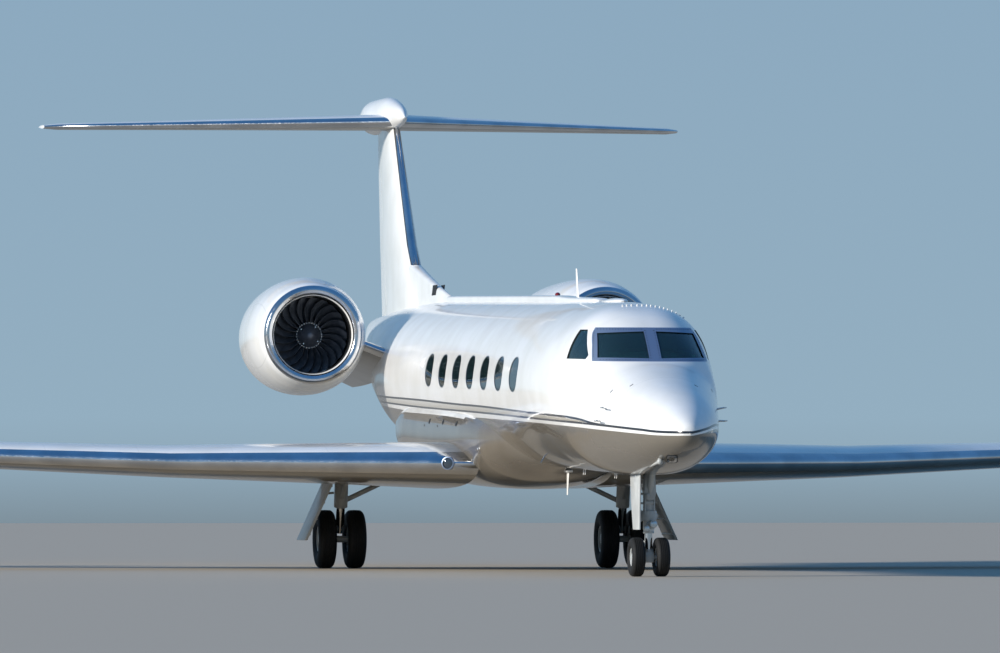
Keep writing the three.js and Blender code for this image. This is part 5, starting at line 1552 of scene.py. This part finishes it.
# Belly antennas and drain masts
fin_blade_low = blade("belly_blade_antenna", at(0, 9200, 1475), at(0, 9260, 1115), (170, 80), 30)
foot_plate = block(at(-45, 9060, 1440), at(45, 9330, 1478), 0.008)
done(join("belly_blade_antenna", fin_blade_low, foot_plate), "airframe", WHITE)
masts = []
for s in (5050, 5180, 7480, 7620):
    low_z = leaned(s, between(BODY, s)[3])
    masts.append(blade("mast", at(-60, s, low_z + 20), at(-60, s + 26, low_z - 70), (60, 34), 14))
done(join("drain_masts", *masts), "airframe", WHITE)
root = side_point(7600, 1560)
done(join("belly_probe", bar(root, root + on_body(root) * 0.10 + Vector((0, -0.02, 0)), 0.012, 0.006, 12)),
     "airframe", CHROME)

# Vents in the fairing's flank, the intake slot beside the fin and the lamp in the wing root
vents = []
for side in (1, -1):
    for s, z, length, height in ((14069, 2220, 65, 40), (12870, 2196, 65, 40), (11749, 2161, 65, 40),
                                 (14489, 2161, 26, 14), (13300, 2140, 26, 14)):
        level = z - LEAN * (s - LEAN_PIVOT)
        place = at(side * side_x(s, level, FAIRING), s, z)
        vents.append(on_skin_plate("vent", place, Vector((0, 1, 0)), length / 1000, height / 1000,
                                   table=FAIRING))
# the vents are black plates on the skin: painted shade standing for their openings
done(join("fairing_vents", *vents), "airframe", BLACK_AND_HOLLOW_SHADE)


slot_shape = [(20960, 4270), (20600, 4270), (20470, 4430), (20850, 4430)]
slots = []
for side in (1, -1):
    slots.append(plate([at(side * (straight(DORSAL, s)[1] - 4), s, z) for s, z in slot_shape],
                       (side * 0.006, 0, 0), "slot"))
# the slots are black plates on the fillet: painted shade standing for their openings
done(join("ram_air_slots", *slots), "airframe", BLACK_AND_HOLLOW_SHADE)

for side, word in SIDES:
    x = 1420
    row = straight(WING, x)
    nose_point = at(x * side, row[1], row[2])
    sweep = math.atan2(straight(WING, x + 100)[1] - row[1], 100) * side
    shell = turned("root_lamp_surround_" + word, [(80, -26), (96, -20), (96, 110), (80, 110)], nose_point,
                   "Y", 40)
    # the lamp surround shares the frame metal's painted sky reflection
    done(moved_by(shell, nose_point, sweep, "Z"), "airframe", FRAME_METAL_SKY_BLUE)
    lens = dome("root_lamp_lens_" + word, x * side, row[1] - 4, row[2], (81, 18, 81))
    done(moved_by(lens, nose_point, sweep, "Z"), "airframe", LAMP_DARK)

# Tip and tail lamps, static wicks on the trailing edges
for side, word, kind in ((1, "port", LAMP_RED), (-1, "starboard", LAMP_GREEN)):
    done(dome("tip_lamp_" + word, 13790 * side, 18420, 1922, (60, 90, 22)), "airframe", kind)
done(dome("tail_lamp", 0, 28770, 7445, (26, 9, 26), 24), "airframe", LAMP_CLEAR)
for side, word in SIDES:
    wicks = []
    for x in (9700, 10500, 11300, 12100):
        row = straight(WING, x)
        angle = math.radians(row[5])
        tail = at(x * side, row[1] + row[3] * math.cos(angle) - 20, row[2] - row[3] * math.sin(angle) + 2)
        wicks.append(bar(tail, tail + Vector((0, 0.12, -0.006)), 0.003, 0.002, 8))
    done(join("static_wicks_%s" % word, *wicks), "aileron_%s_body" % word, BLACK_AND_HOLLOW_SHADE)
